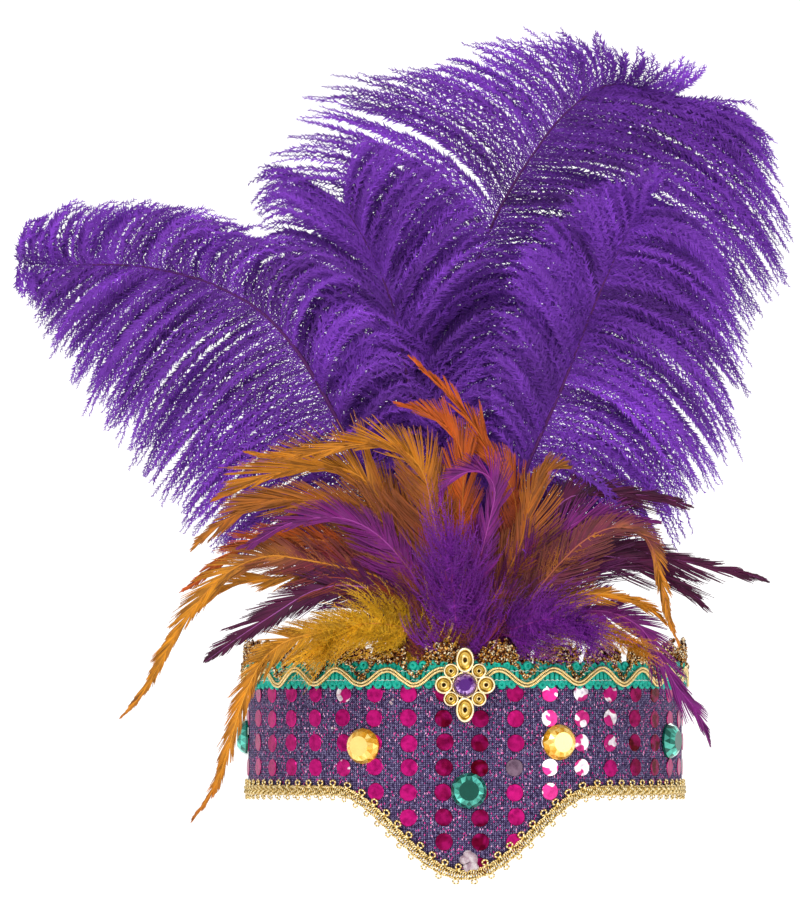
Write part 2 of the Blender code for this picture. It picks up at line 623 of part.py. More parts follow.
def make_crest():
    for row in HACKLES:
        make_vaned_feather(row, HACKLE_WIDTH, HACKLE_THICKNESS, HACKLE_BARE)
    for row in TUFTS:
        make_vaned_feather(row, TUFT_WIDTH, TUFT_THICKNESS, TUFT_BARE)
    for row in PLUMES:
        make_plume(row)


remove_old_objects()
PARTS = make_collection(COLLECTION_NAME)
CUTTERS = make_collection("cutters")
MATERIALS = {name: make_material(name) for name in FINISHES}
make_band()
make_trims()
make_gems()
make_brooch()
make_crest()
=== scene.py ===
"""Carnival feather headdress: the finishes, trims, stones and feathers round the fixed frame."""
import math

import bmesh
import bpy
import numpy as np
from mathutils import Matrix, Vector


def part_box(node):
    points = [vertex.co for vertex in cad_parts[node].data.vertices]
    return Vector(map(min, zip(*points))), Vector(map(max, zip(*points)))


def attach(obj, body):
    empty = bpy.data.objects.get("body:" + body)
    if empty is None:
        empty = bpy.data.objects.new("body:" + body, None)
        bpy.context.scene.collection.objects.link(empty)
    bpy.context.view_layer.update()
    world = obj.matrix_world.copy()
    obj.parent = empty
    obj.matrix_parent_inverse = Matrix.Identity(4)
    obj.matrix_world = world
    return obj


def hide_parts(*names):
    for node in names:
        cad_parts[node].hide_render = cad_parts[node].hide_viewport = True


bl_info = {
    "name": "Feather Headdress",
    "version": (1, 0, 0),
    "blender": (4, 5, 0),
    "location": "3D View > Sidebar > Headdress",
    "description": "Builds the looks of a carnival feather headdress round its frame",
    "category": "Object",
}

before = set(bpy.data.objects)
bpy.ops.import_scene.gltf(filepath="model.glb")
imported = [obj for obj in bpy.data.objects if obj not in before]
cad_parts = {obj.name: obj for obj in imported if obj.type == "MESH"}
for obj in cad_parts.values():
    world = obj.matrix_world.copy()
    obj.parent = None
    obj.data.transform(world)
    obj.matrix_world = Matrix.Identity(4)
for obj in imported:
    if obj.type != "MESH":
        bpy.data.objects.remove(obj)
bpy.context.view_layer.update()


def corners(node):
    """The low and the high corner of a node of the frame."""
    return [Vector(corner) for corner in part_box(node)]


# Sizes read from the frame
BAND_LOW, BAND_HIGH = corners("crown_band")
GIMP_LOW, GIMP_HIGH = corners("top_gimp")
BAND_RADIUS = BAND_HIGH.x
BAND_TOP = BAND_HIGH.z
POINT_DROP = -BAND_LOW.z
GIMP_RADIUS = GIMP_HIGH.x
GIMP_MIDDLE = 0.5 * (GIMP_LOW.z + GIMP_HIGH.z)
CORD_RADIUS = corners("wave_cord")[1].x
LACE_TOP = corners("lace_fans")[1].z
BRAID_RADIUS = corners("hem_braid")[1].x

# Shapes that the frame's pieces follow: the band, its waves and hem, then the crest
BAND_WALL = 0.0022
POINT_SPREAD = math.radians(36.0)
WAVES = 25
WAVE_PHASE = math.radians(1.4)
WAVE_SWING = 0.0031
BRAID_WIDTH = 0.0040
HACKLE_QUILL = 0.0013
PLUME_QUILL = 0.0030
QUILL_GAP = 0.0005
QUILL_FOOT = 0.0300
NECK_RISE = 0.0024
HACKLE_REACH = 0.100
PLUME_REACH = 0.260
LEAN_REACH = 0.090
CREST_SWEEP = 0.400
PLUME_CURL = 0.600
CLEARANCE = 0.0003
MM = 0.001

# How far a tuft's down reaches in front of its shaft before it is held back, and how far under
# the lace's top the down of hackles and tufts starts
TUFT_FREE = 0.0075
DOWN_START = 0.0090

# The photograph's frame, in pixels, and its scale in metres a pixel
PHOTO_SIZE = (800, 900)
PHOTO_SCALE = 0.00042
PHOTO_MIDDLE = 465.0
PHOTO_LEVEL = 790.0

# The two rows of quills behind the band, and the level where shafts leave their quills
ROW_RADIUS = BAND_RADIUS - BAND_WALL - CLEARANCE - 0.5 * HACKLE_QUILL
PLUME_ROW_RADIUS = ROW_RADIUS - 0.5 * HACKLE_QUILL - CLEARANCE - 0.5 * PLUME_QUILL
NECK_HEIGHT = LACE_TOP + NECK_RISE

# The stones' dyes: the dye itself, then a lighter colour that is painted highlight on the lit
# facets
STONES = {
    "emerald": ((0.0, 0.11, 0.078), (0.16, 0.86, 0.68)),
    "amber": ((0.80, 0.36, 0.008), (1.0, 0.80, 0.25)),
    "amethyst": ((0.105, 0.012, 0.23), (0.75, 0.45, 0.9)),
}


class CrownSettings(bpy.types.PropertyGroup):
    """Sizes and colours of the ring crown and its trims"""
    sequin_diameter: bpy.props.FloatProperty(
        name="Sequin diameter", description="Across one foil dot", default=0.0074, unit="LENGTH")
    sequin_column: bpy.props.FloatProperty(
        name="Sequin columns", description="Angle between two columns of dots",
        default=math.radians(9.35), subtype="ANGLE")
    sequin_row: bpy.props.FloatProperty(
        name="Sequin rows", description="Height between two rows of dots", default=0.0103,
        unit="LENGTH")
    loop_pitch: bpy.props.FloatProperty(
        name="Gimp loops", description="Distance between the loops on the gimp's edges",
        default=0.0044, unit="LENGTH")
    picot_pitch: bpy.props.FloatProperty(
        name="Picots", description="Distance between the loops on the hem braid",
        default=0.0067, unit="LENGTH")
    cloth_colour: bpy.props.FloatVectorProperty(
        name="Cloth", description="The band's ground colour", subtype="COLOR",
        default=(0.036, 0.015, 0.078))
    sequin_colour: bpy.props.FloatVectorProperty(
        name="Sequins", description="Foil colour of the dots", subtype="COLOR",
        default=(0.52, 0.010, 0.175))
    teal_colour: bpy.props.FloatVectorProperty(
        name="Gimp", description="The top gimp's colour", subtype="COLOR",
        default=(0.0, 0.37, 0.275))
    gold_colour: bpy.props.FloatVectorProperty(
        name="Gold thread", description="Colour of the cords and the braid", subtype="COLOR",
        default=(0.78, 0.50, 0.12))


class CrestSettings(bpy.types.PropertyGroup):
    """Sizes and colours of the feathers"""
    plume_barbs: bpy.props.IntProperty(
        name="Plume barbs", description="Barbs on each side of an ostrich plume", default=360)
    barbule_length: bpy.props.FloatProperty(
        name="Barbule length", description="Length of the fine hairs on a plume's barb",
        default=0.0030, unit="LENGTH")
    barbule_spacing: bpy.props.FloatProperty(
        name="Barbule spacing", description="Distance between the hairs on a barb",
        default=0.00050, unit="LENGTH")
    hackle_spacing: bpy.props.FloatProperty(
        name="Hackle barbs", description="Distance between the barbs of a cock feather",
        default=0.00042, unit="LENGTH")
    plume_colour: bpy.props.FloatVectorProperty(
        name="Ostrich", description="Colour of the ostrich plumes", subtype="COLOR",
        default=(0.127, 0.026, 0.30))


class StageSettings(bpy.types.PropertyGroup):
    """Camera and studio"""
    camera_distance: bpy.props.FloatProperty(
        name="Camera distance", description="From the camera to the crown's middle",
        default=5.0, unit="LENGTH")
    camera_height: bpy.props.FloatProperty(
        name="Camera height", description="Height of the lens, level with the band",
        default=0.030, unit="LENGTH")
    floor_drop: bpy.props.FloatProperty(
        name="Floor drop", description="Depth of the floor under the crown's edge",
        default=0.200, unit="LENGTH")


class Value:
    """A node socket that takes part in sums, each of which places a Math node."""

    def __init__(self, tree, socket):
        self.tree = tree
        self.socket = socket

    def math(self, operation, *others):
        return self.tree.math(operation, self, *others)

    def __add__(self, other):
        return self.math("ADD", other)

    def __mul__(self, other):
        return self.math("MULTIPLY", other)

    def __sub__(self, other):
        return self.math("SUBTRACT", other)

    def __rsub__(self, other):
        return self.tree.math("SUBTRACT", other, self)

    def __truediv__(self, other):
        return self.math("DIVIDE", other)

    def __pow__(self, other):
        return self.math("POWER", other)

    def __gt__(self, other):
        return self.math("GREATER_THAN", other)

    def __lt__(self, other):
        return self.math("LESS_THAN", other)

    __radd__ = __add__
    __rmul__ = __mul__


class NodeTree:
    """A shader or geometry tree under construction."""

    def __init__(self, tree):
        self.tree = tree

    def node(self, kind, settings=None, inputs=None, out=0):
        """Places a node with its settings first, then its sockets, and returns one output."""
        node = self.tree.nodes.new(kind)
        for key, value in (settings or {}).items():
            if key == "stops":
                set_stops(node.color_ramp, value)
            else:
                setattr(node, key, value)
        for key, value in (inputs or {}).items():
            if isinstance(value, Value):
                self.tree.links.new(value.socket, node.inputs[key])
            else:
                node.inputs[key].default_value = value
        return Value(self, node.outputs[out])

    def math(self, operation, *values):
        return self.node("ShaderNodeMath", {"operation": operation}, dict(enumerate(values)))

    def sine(self, value):
        return self.math("SINE", value)

    def vector(self, x, y, z):
        return self.node("ShaderNodeCombineXYZ", None, {0: x, 1: y, 2: z})


class Finish(NodeTree):
    """A material: its steady sockets are set at once, and its patterns feed the others."""

    def __init__(self, name, roughness=0.5, metallic=0.0, **sockets):
        self.material = bpy.data.materials.new(name)
        self.material.use_nodes = True
        super().__init__(self.material.node_tree)
        self.shader = self.tree.nodes["Principled BSDF"]
        self.shader.inputs["Roughness"].default_value = roughness
        self.shader.inputs["Metallic"].default_value = metallic
        for key, value in sockets.items():
            label = key.replace("_", " ").title().replace("Ior", "IOR")
            self.shader.inputs[label].default_value = value

    def feed(self, key, value):
        self.tree.links.new(value.socket, self.shader.inputs[key])

    def place(self, scale=(1.0, 1.0, 1.0)):
        """Object coordinates, stretched."""
        spot = self.node("ShaderNodeTexCoord", out="Object")
        return self.node("ShaderNodeMapping", None, {"Vector": spot, "Scale": scale})

    def attribute(self, name):
        return self.node("ShaderNodeAttribute", {"attribute_name": name}, out="Fac")

    def noise(self, scale, detail=2.0, stretch=(1.0, 1.0, 1.0)):
        return self.node("ShaderNodeTexNoise", None,
                         {"Vector": self.place(stretch), "Scale": scale, "Detail": detail})

    def cells(self, spot, scale, out="Distance"):
        return self.node("ShaderNodeTexVoronoi", None, {"Vector": spot, "Scale": scale}, out)

    def ramp(self, value, *stops):
        return self.node("ShaderNodeValToRGB", {"stops": stops}, {0: value})

    def mix(self, share, first, second, blend="MIX"):
        """Colours: the share of the second over the first."""
        return self.node("ShaderNodeMix", {"data_type": "RGBA", "blend_type": blend},
                         {0: share, 6: paint(first), 7: paint(second)}, out=2)

    def bump(self, height, distance, strength=1.0):
        self.feed("Normal", self.node("ShaderNodeBump", None, {
            "Height": height, "Distance": distance, "Strength": strength}))

    def dress(self, colour, roughness=None, bump=None):
        """Feeds the colour, and the roughness and the bump where they vary."""
        self.feed("Base Color", colour)
        if roughness:
            self.feed("Roughness", roughness)
        if bump:
            self.bump(*bump)
        return self.material


def paint(colour):
    return colour if isinstance(colour, Value) else (*colour, 1.0)


def set_stops(ramp, stops):
    while len(ramp.elements) < len(stops):
        ramp.elements.new(1.0)
    for element, (position, colour) in zip(ramp.elements, stops):
        element.position = position
        element.color = (*colour, 1.0)


def scaled(colour, factor):
    return tuple(min(1.0, channel * factor) for channel in colour)


class Recipe(NodeTree):
    """A Geometry Nodes tree with named inputs for its sizes, the finish and the seed."""

    def __init__(self, name, **sizes):
        super().__init__(bpy.data.node_groups.new(name, "GeometryNodeTree"))
        sides = self.tree.interface
        sides.new_socket("Geometry", in_out="INPUT", socket_type="NodeSocketGeometry")
        sides.new_socket("Geometry", in_out="OUTPUT", socket_type="NodeSocketGeometry")
        sides.new_socket("Finish", in_out="INPUT", socket_type="NodeSocketMaterial")
        for label, value in sizes.items():
            kind = "NodeSocketInt" if isinstance(value, int) else "NodeSocketFloat"
            side = sides.new_socket(label, in_out="INPUT", socket_type=kind)
            side.default_value = value
        self.inlet = self.tree.nodes.new("NodeGroupInput")

    def size(self, label):
        return Value(self, self.inlet.outputs[label])

    def named(self, name, kind="FLOAT"):
        return self.node("GeometryNodeInputNamedAttribute", {"data_type": kind}, {0: name})

    def keep(self, geometry, name, value, kind="FLOAT", domain="POINT"):
        """Stores a value on the geometry for its finish to read."""
        return self.node("GeometryNodeStoreNamedAttribute", {"data_type": kind, "domain": domain},
                         {0: geometry, 2: name, 3: value})

    def random(self, low, high, seed=0):
        """A number for each element, offset by the recipe's seed."""
        return self.node("FunctionNodeRandomValue", {"data_type": "FLOAT"},
                         {2: low, 3: high, 8: self.size("Seed") + float(seed)}, out=1)

    def instances(self, points, motif, rotation, scale):
        return self.node("GeometryNodeInstanceOnPoints", None, {
            "Points": points, "Instance": motif, "Rotation": rotation, "Scale": scale})

    def on_points(self, motif, scale, flat=False):
        """Ends the recipe with a motif on each point, turned as the point says."""
        turn = self.node("FunctionNodeEulerToRotation", None,
                         {0: self.named("turn", "FLOAT_VECTOR")})
        return self.close(self.instances(self.size("Geometry"), motif, turn, scale), flat)

    def strands(self):
        """The base mesh's lines as curves."""
        return self.node("GeometryNodeMeshToCurve", None, {0: self.size("Geometry")})

    def thickness(self):
        """The radius of a line, as its own values say."""
        return self.named("thick") * self.size("Radius")

    def turned(self, rotation, euler):
        """A rotation with another one added in its own axes."""
        turn = self.node("FunctionNodeEulerToRotation", None, {0: euler})
        return self.node("FunctionNodeRotateRotation", {"rotation_space": "LOCAL"},
                         {0: rotation, 1: turn})

    def sweep(self, curve, profile, scale=1.0):
        return self.node("GeometryNodeCurveToMesh", None,
                         {"Curve": curve, "Profile Curve": profile, "Scale": scale,
                          "Fill Caps": True})

    def circle(self, radius, sides):
        return self.node("GeometryNodeCurvePrimitiveCircle", None,
                         {"Resolution": sides, "Radius": radius})

    def joined(self, *geometries):
        node = self.tree.nodes.new("GeometryNodeJoinGeometry")
        for geometry in geometries:
            self.tree.links.new(geometry.socket, node.inputs[0])
        return Value(self, node.outputs[0])

    def close(self, geometry, flat=False):
        """Realizes the instances, sets the finish and joins the result to the output."""
        real = self.node("GeometryNodeRealizeInstances", None, {0: geometry})
        smooth = self.node("GeometryNodeSetShadeSmooth", None, {0: real, 2: not flat})
        done = self.node("GeometryNodeSetMaterial", None, {0: smooth, 2: self.size("Finish")})
        outlet = self.tree.nodes.new("NodeGroupOutput")
        self.tree.links.new(done.socket, outlet.inputs[0])
        return self.tree


def linked(name, data):
    """A new object of the scene."""
    thing = bpy.data.objects.new(name, data)
    bpy.context.scene.collection.objects.link(thing)
    return thing


def grown(name, base, recipe, finish, **sizes):
    """An object whose plain mesh is what a recipe makes of a base mesh."""
    thing = linked(name, base)
    modifier = thing.modifiers.new("recipe", "NODES")
    modifier.node_group = recipe
    values = {"Finish": finish, **sizes}
    for side in recipe.interface.items_tree:
        if side.item_type == "SOCKET" and side.in_out == "INPUT" and side.name in values:
            modifier[side.identifier] = values[side.name]
    return settled(thing)


def settled(thing):
    """The object with its modifiers turned into its plain mesh."""
    depsgraph = bpy.context.evaluated_depsgraph_get()
    mesh = bpy.data.meshes.new_from_object(
        thing.evaluated_get(depsgraph), preserve_all_data_layers=True, depsgraph=depsgraph)
    thing.modifiers.clear()
    mesh.name = thing.name
    thing.data = mesh
    return thing


def hand_over(thing, slot, *nodes):
    """The finished piece takes the place of its nodes of the frame."""
    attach(thing, "root")
    if nodes:
        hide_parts(*nodes)


def joined(name, things):
    """Several meshes as one piece, with their finishes and their stored values."""
    for thing in bpy.context.selected_objects:
        thing.select_set(False)
    for thing in things:
        thing.select_set(True)
    bpy.context.view_layer.objects.active = things[0]
    bpy.ops.object.join()
    piece = things[0]
    piece.name = name
    piece.data.name = name
    return piece


def store(mesh, key, values, domain="POINT"):
    """A value for each point or face of a mesh, for the recipes and finishes to read."""
    values = np.asarray(values, dtype=float).ravel()
    mesh.attributes.new(key, "FLOAT", domain).data.foreach_set("value", values)


def mesh_from(name, shape, key, values, domain="POINT"):
    """The plain mesh of an edited shape, its faces turned outwards, with one stored value."""
    bmesh.ops.recalc_face_normals(shape, faces=shape.faces)
    mesh = bpy.data.meshes.new(name)
    shape.to_mesh(mesh)
    shape.free()
    store(mesh, key, values, domain)
    return mesh


def wire_mesh(name, lines, closed=False, **attributes):
    """Edges along each line of points, with a value for each line or each point."""
    lines = np.asarray(lines, dtype=float)
    count, steps, _ = lines.shape
    index = np.arange(count * steps).reshape(count, steps)
    edges = np.stack([index[:, :-1], index[:, 1:]], axis=-1).reshape(-1, 2)
    if closed:
        edges = np.concatenate([edges, np.stack([index[:, -1], index[:, 0]], axis=-1)])
    mesh = bpy.data.meshes.new(name)
    mesh.from_pydata(lines.reshape(-1, 3).tolist(), edges.tolist(), [])
    for key, value in attributes.items():
        value = np.asarray(value, dtype=float)
        if value.ndim == 1:
            value = np.repeat(value[:, None], steps, axis=1)
        store(mesh, key, value)
    return mesh


def point_mesh(name, spots, turns, **attributes):
    """Loose points with the turn of what stands on each, as x, y and z angles."""
    mesh = bpy.data.meshes.new(name)
    mesh.from_pydata(np.asarray(spots, dtype=float).tolist(), [], [])
    turns = np.asarray(turns, dtype=float)
    mesh.attributes.new("turn", "FLOAT_VECTOR", "POINT").data.foreach_set("vector", turns.ravel())
    for key, value in attributes.items():
        store(mesh, key, value)
    return mesh


# Hackles: name, dye, place in the row of quills, forward lean, widths of the upper and the lower
# vane, length of the down at the foot, all in millimetres, warmth of the dye from 0 to 1, and
# the shaft's route across and up in shares of HACKLE_REACH, as in the frame.
HACKLES = (
    ("hackle_gold_low_left", "gold", -13, 0.28, 3.0, 4.2, 14, 0.35,
     ((-0.33, 0.045), (-0.46, 0.045), (-0.61, 0.020), (-0.73, -0.01), (-0.83, -0.08),
      (-0.89, -0.18), (-0.94, -0.31), (-0.99, -0.48), (-1.04, -0.62), (-1.14, -0.77))),
    ("hackle_burgundy_left", "burgundy", -11, 0.24, 4.2, 6.0, 19, 0.4,
     ((-0.235, 0.085), (-0.29, 0.140), (-0.36, 0.187), (-0.45, 0.213), (-0.54, 0.215),
      (-0.65, 0.185), (-0.81, 0.087), (-0.95, -0.005), (-1.08, -0.10))),
    ("hackle_gold_inner_left", "tawny", -10, 0.10, 3.4, 4.0, 18, 0.2,
     ((-0.26, 0.145), (-0.36, 0.225), (-0.50, 0.275), (-0.65, 0.270), (-0.78, 0.245),
      (-0.90, 0.240), (-1.01, 0.20), (-1.12, 0.11))),
    ("hackle_gold_long_left", "tawny", -9, 0.18, 3.4, 4.6, 20, 0.0,
     ((-0.25, 0.180), (-0.38, 0.260), (-0.55, 0.300), (-0.68, 0.325), (-0.82, 0.339),
      (-1.00, 0.263), (-1.19, 0.036), (-1.34, -0.224), (-1.44, -0.338))),
    ("hackle_rust_left", "rust", -8, 0.10, 4.2, 4.6, 21, 0.3,
     ((-0.21, 0.190), (-0.34, 0.310), (-0.50, 0.380), (-0.68, 0.415), (-0.85, 0.405),
      (-0.98, 0.345), (-1.11, 0.242), (-1.19, 0.19))),
    ("hackle_magenta_left", "magenta", -7, 0.22, 4.0, 4.2, 18, 0.5,
     ((-0.17, 0.180), (-0.28, 0.343), (-0.37, 0.431), (-0.45, 0.477), (-0.53, 0.498),
      (-0.68, 0.49), (-0.78, 0.452), (-0.87, 0.40), (-0.95, 0.368))),
    ("hackle_brown_left", "brown", -6, 0.12, 6.4, 6.0, 24, 0.35,
     ((-0.15, 0.230), (-0.26, 0.410), (-0.38, 0.505), (-0.52, 0.555), (-0.66, 0.570),
      (-0.85, 0.565), (-0.97, 0.502), (-1.05, 0.452), (-1.14, 0.368))),
    ("hackle_amber_left", "tawny", -5, 0.06, 3.4, 8.6, 25, 0.6,
     ((-0.12, 0.240), (-0.25, 0.440), (-0.35, 0.575), (-0.43, 0.665), (-0.54, 0.712),
      (-0.69, 0.704), (-0.80, 0.679), (-0.95, 0.616), (-1.05, 0.57))),
    ("hackle_gold_upper_left", "tawny", -4, 0.18, 3.4, 5.6, 24, 0.55,
     ((-0.10, 0.300), (-0.14, 0.550), (-0.18, 0.696), (-0.27, 0.785), (-0.40, 0.805),
      (-0.57, 0.780), (-0.77, 0.750), (-0.92, 0.771))),
    ("hackle_purple_upright", "magenta", -3, 0.10, 3.2, 3.2, 16, 0.9,
     ((-0.07, 0.154), (-0.075, 0.330), (-0.08, 0.519), (-0.11, 0.65), (-0.16, 0.76))),
    ("hackle_red_blade", "rust", -1, 0.16, 5.4, 5.4, 20, 0.3,
     ((-0.02, 0.300), (-0.01, 0.560), (-0.008, 0.704), (-0.02, 0.790), (-0.08, 0.880),
      (-0.17, 0.935), (-0.29, 0.977))),
    ("hackle_magenta_arch", "magenta", 0, 0.32, 3.2, 4.0, 14, 0.1,
     ((0.03, 0.200), (0.08, 0.397), (0.11, 0.519), (0.125, 0.60), (0.105, 0.66),
      (0.055, 0.69), (-0.01, 0.68), (-0.07, 0.64), (-0.11, 0.54))),
    ("hackle_orange_long", "rust", 1, 0.08, 3.4, 4.4, 21, 0.2,
     ((0.10, 0.200), (0.185, 0.36), (0.214, 0.502), (0.21, 0.565), (0.18, 0.649),
      (0.10, 0.759), (0.06, 0.847), (0.0, 0.931), (-0.065, 1.01), (-0.14, 1.08),
      (-0.235, 1.174))),
    ("hackle_gold_small_right", "brown", 2, 0.18, 4.0, 6.6, 24, 0.2,
     ((0.14, 0.200), (0.235, 0.40), (0.265, 0.55), (0.30, 0.65), (0.36, 0.70), (0.44, 0.71))),
    ("hackle_burgundy_upper_right", "burgundy", 3, 0.10, 4.2, 7.0, 24, 0.5,
     ((0.19, 0.180), (0.29, 0.370), (0.35, 0.500), (0.43, 0.580), (0.52, 0.60),
      (0.63, 0.595), (0.75, 0.592), (0.86, 0.574), (0.94, 0.549))),
    ("hackle_magenta_right", "magenta", 4, 0.20, 4.8, 6.6, 24, 0.4,
     ((0.20, 0.130), (0.31, 0.300), (0.40, 0.427), (0.48, 0.486), (0.58, 0.507),
      (0.68, 0.495), (0.81, 0.481))),
    ("hackle_gold_fall_right", "russet", 5, 0.32, 3.2, 4.2, 18, 0.1,
     ((0.22, 0.100), (0.37, 0.280), (0.50, 0.405), (0.61, 0.455), (0.70, 0.450),
      (0.76, 0.405), (0.79, 0.335), (0.81, 0.250), (0.83, 0.162), (0.85, 0.074), (0.89, -0.04))),
    ("hackle_burgundy_long_right", "burgundy", 6, 0.10, 4.0, 6.8, 26, 0.1,
     ((0.19, 0.110), (0.29, 0.270), (0.40, 0.370), (0.52, 0.405), (0.64, 0.385),
      (0.78, 0.345), (0.98, 0.305), (1.11, 0.280), (1.26, 0.242))),
    ("hackle_burgundy_right", "burgundy", 7, 0.20, 4.6, 10.4, 31, 0.4,
     ((0.19, 0.083), (0.25, 0.178), (0.33, 0.272), (0.43, 0.330), (0.58, 0.338),
      (0.72, 0.310), (0.84, 0.250), (0.91, 0.205), (0.98, 0.158))),
    ("hackle_gold_right", "gold", 8, 0.34, 2.9, 3.8, 12, 0.3,
     ((0.20, 0.066), (0.29, 0.115), (0.42, 0.165), (0.58, 0.180), (0.70, 0.150),
      (0.79, 0.105), (0.84, 0.05))),
    ("hackle_magenta_low_right", "magenta", 10, 0.24, 4.6, 5.6, 18, 0.2,
     ((0.215, 0.056), (0.33, 0.090), (0.47, 0.110), (0.57, 0.110), (0.66, 0.085),
      (0.74, 0.03), (0.79, -0.05), (0.84, -0.13), (0.88, -0.203), (0.94, -0.275),
      (0.98, -0.342), (1.02, -0.447))),
)

# Marabou tufts: name, dye, place, lean, barbs to a millimetre, length of the down in
# millimetres, warmth and route
TUFTS = (
    ("tuft_yellow_left", "yellow", -12, 0.92, 4.3, 24, 0.2,
     ((-0.30, 0.050), (-0.41, 0.056), (-0.51, 0.030), (-0.58, -0.04))),
    ("tuft_purple_centre", "violet", -2, 0.60, 4.6, 30, 0.3,
     ((-0.04, 0.090), (-0.05, 0.220), (-0.06, 0.37))),
    ("tuft_purple_right", "violet", 9, 1.10, 4.4, 27, 0.3,
     ((0.235, 0.046), (0.32, 0.072), (0.42, 0.074), (0.50, 0.02))),
    ("tuft_gold_right", "gold", 11, 0.60, 2.8, 14, 0.2,
     ((0.32, 0.022), (0.46, 0.026), (0.60, 0.012), (0.74, -0.05))),
)

# Ostrich plumes: name, place in the row of quills and lean back; then, as pairs for the upper
# and the lower barbs, how full, how bowed, how curled and how ragged they are; then rows of
# shaft, upper barb tip and lower barb tip, each across and up, in shares of PLUME_REACH.
PLUMES = (
    ("plume_low_right", 2, 0.12, (0.84, 0.90), (0.20, 0.20), (0.12, 0.12), (0.24, 0.14), (
        (0.020, 0.10, -0.01, 0.12, 0.06, 0.10),
        (0.070, 0.20, 0.02, 0.27, 0.21, 0.12),
        (0.115, 0.31, 0.04, 0.41, 0.32, 0.15),
        (0.155, 0.40, 0.06, 0.53, 0.37, 0.21),
        (0.190, 0.49, 0.09, 0.63, 0.42, 0.29),
        (0.215, 0.55, 0.14, 0.68, 0.44, 0.40),
        (0.250, 0.63, 0.22, 0.73, 0.44, 0.50),
        (0.285, 0.69, 0.32, 0.745, 0.43, 0.60))),
    ("plume_left", -3, 0.24, (1.0, 1.0), (0.42, 0.15), (0.34, 0.04), (0.09, 0.09), (
        (-0.075, 0.10, 0.00, 0.12, -0.12, 0.10),
        (-0.140, 0.22, -0.03, 0.28, -0.37, 0.13),
        (-0.185, 0.31, -0.07, 0.38, -0.42, 0.16),
        (-0.210, 0.36, -0.10, 0.45, -0.45, 0.19),
        (-0.250, 0.43, -0.15, 0.53, -0.48, 0.23),
        (-0.300, 0.50, -0.200, 0.59, -0.52, 0.28),
        (-0.365, 0.55, -0.270, 0.62, -0.56, 0.33),
        (-0.435, 0.58, -0.345, 0.65, -0.61, 0.39),
        (-0.500, 0.597, -0.41, 0.67, -0.65, 0.46),
        (-0.575, 0.605, -0.50, 0.70, -0.68, 0.51),
        (-0.660, 0.605, -0.655, 0.69, -0.70, 0.55),
        (-0.725, 0.61, -0.717, 0.64, -0.72, 0.57))),
    ("plume_middle", -1, 0.38, (0.62, 0.80), (0.25, 0.25), (0.22, 0.12), (0.24, 0.15), (
        (-0.030, 0.10, -0.045, 0.115, -0.01, 0.115),
        (-0.055, 0.22, -0.16, 0.24, 0.04, 0.30),
        (-0.075, 0.33, -0.25, 0.38, 0.07, 0.45),
        (-0.095, 0.43, -0.30, 0.51, 0.07, 0.59),
        (-0.115, 0.53, -0.33, 0.61, 0.04, 0.70),
        (-0.150, 0.62, -0.34, 0.69, -0.05, 0.77),
        (-0.195, 0.70, -0.33, 0.76, -0.16, 0.81))),
    ("plume_right", 0, 0.54, (0.84, 1.25), (0.22, 0.20), (0.06, 0.12), (0.20, 0.08), (
        (0.005, 0.10, -0.01, 0.12, 0.025, 0.12),
        (-0.005, 0.25, -0.08, 0.33, 0.09, 0.31),
        (-0.010, 0.38, -0.14, 0.49, 0.17, 0.40),
        (-0.008, 0.52, -0.30, 0.69, 0.28, 0.44),
        (0.015, 0.60, -0.32, 0.77, 0.38, 0.47),
        (0.052, 0.69, -0.27, 0.865, 0.44, 0.50),
        (0.105, 0.78, -0.15, 0.93, 0.49, 0.56),
        (0.150, 0.84, -0.02, 0.95, 0.515, 0.63),
        (0.180, 0.873, 0.06, 0.985, 0.525, 0.67),
        (0.205, 0.895, 0.15, 1.00, 0.525, 0.71),
        (0.228, 0.903, 0.215, 1.00, 0.52, 0.75),
        (0.240, 0.904, 0.235, 0.96, 0.515, 0.765),
        (0.262, 0.902, 0.30, 0.935, 0.505, 0.785),
        (0.300, 0.893, 0.37, 0.94, 0.49, 0.815),
        (0.335, 0.885, 0.41, 0.95, 0.455, 0.86))),
)

# How late up the feather the vane's own colour comes, as a power of the share, which carries the
# dark down and its painted shade higher up
LATE = {"russet": 2.3, "brown": 1.3, "tawny": 1.15}

# Dyes: record slot, down, vane, tip and shaft colours. The dark downs of tawny, russet, brown and
# rust are partly the down's own colour and partly painted shade of the dark between the feathers
# at the crest's foot
DYES = {
    "gold": ("gold_feather", (0.56, 0.30, 0.014), (0.52, 0.20, 0.006), (0.42, 0.115, 0.004),
             (0.62, 0.26, 0.02)),
    "tawny": ("gold_feather", (0.125, 0.010, 0.022), (0.50, 0.19, 0.005),
              (0.44, 0.125, 0.004), (0.52, 0.19, 0.015)),
    "russet": ("gold_feather", (0.085, 0.003, 0.040), (0.48, 0.175, 0.006),
               (0.50, 0.17, 0.005), (0.34, 0.09, 0.05)),
    "brown": ("brown_feather", (0.135, 0.010, 0.022), (0.27, 0.062, 0.004),
              (0.48, 0.18, 0.008), (0.40, 0.13, 0.01)),
    "rust": ("red_feather", (0.20, 0.022, 0.022), (0.42, 0.075, 0.005), (0.52, 0.085, 0.005),
             (0.48, 0.13, 0.015)),
    "burgundy": ("burgundy_feather", (0.105, 0.005, 0.085), (0.075, 0.002, 0.038),
                 (0.05, 0.001, 0.024), (0.30, 0.07, 0.28)),
    "magenta": ("magenta_feather", (0.19, 0.011, 0.19), (0.17, 0.010, 0.16),
                (0.12, 0.005, 0.09), (0.28, 0.04, 0.25)),
    "violet": ("purple_down", (0.165, 0.012, 0.26), (0.15, 0.012, 0.25), (0.24, 0.03, 0.38),
               (0.30, 0.03, 0.28)),
    "yellow": ("yellow_down", (0.70, 0.40, 0.012), (0.62, 0.31, 0.008), (0.54, 0.23, 0.010),
               (0.60, 0.25, 0.03)),
}

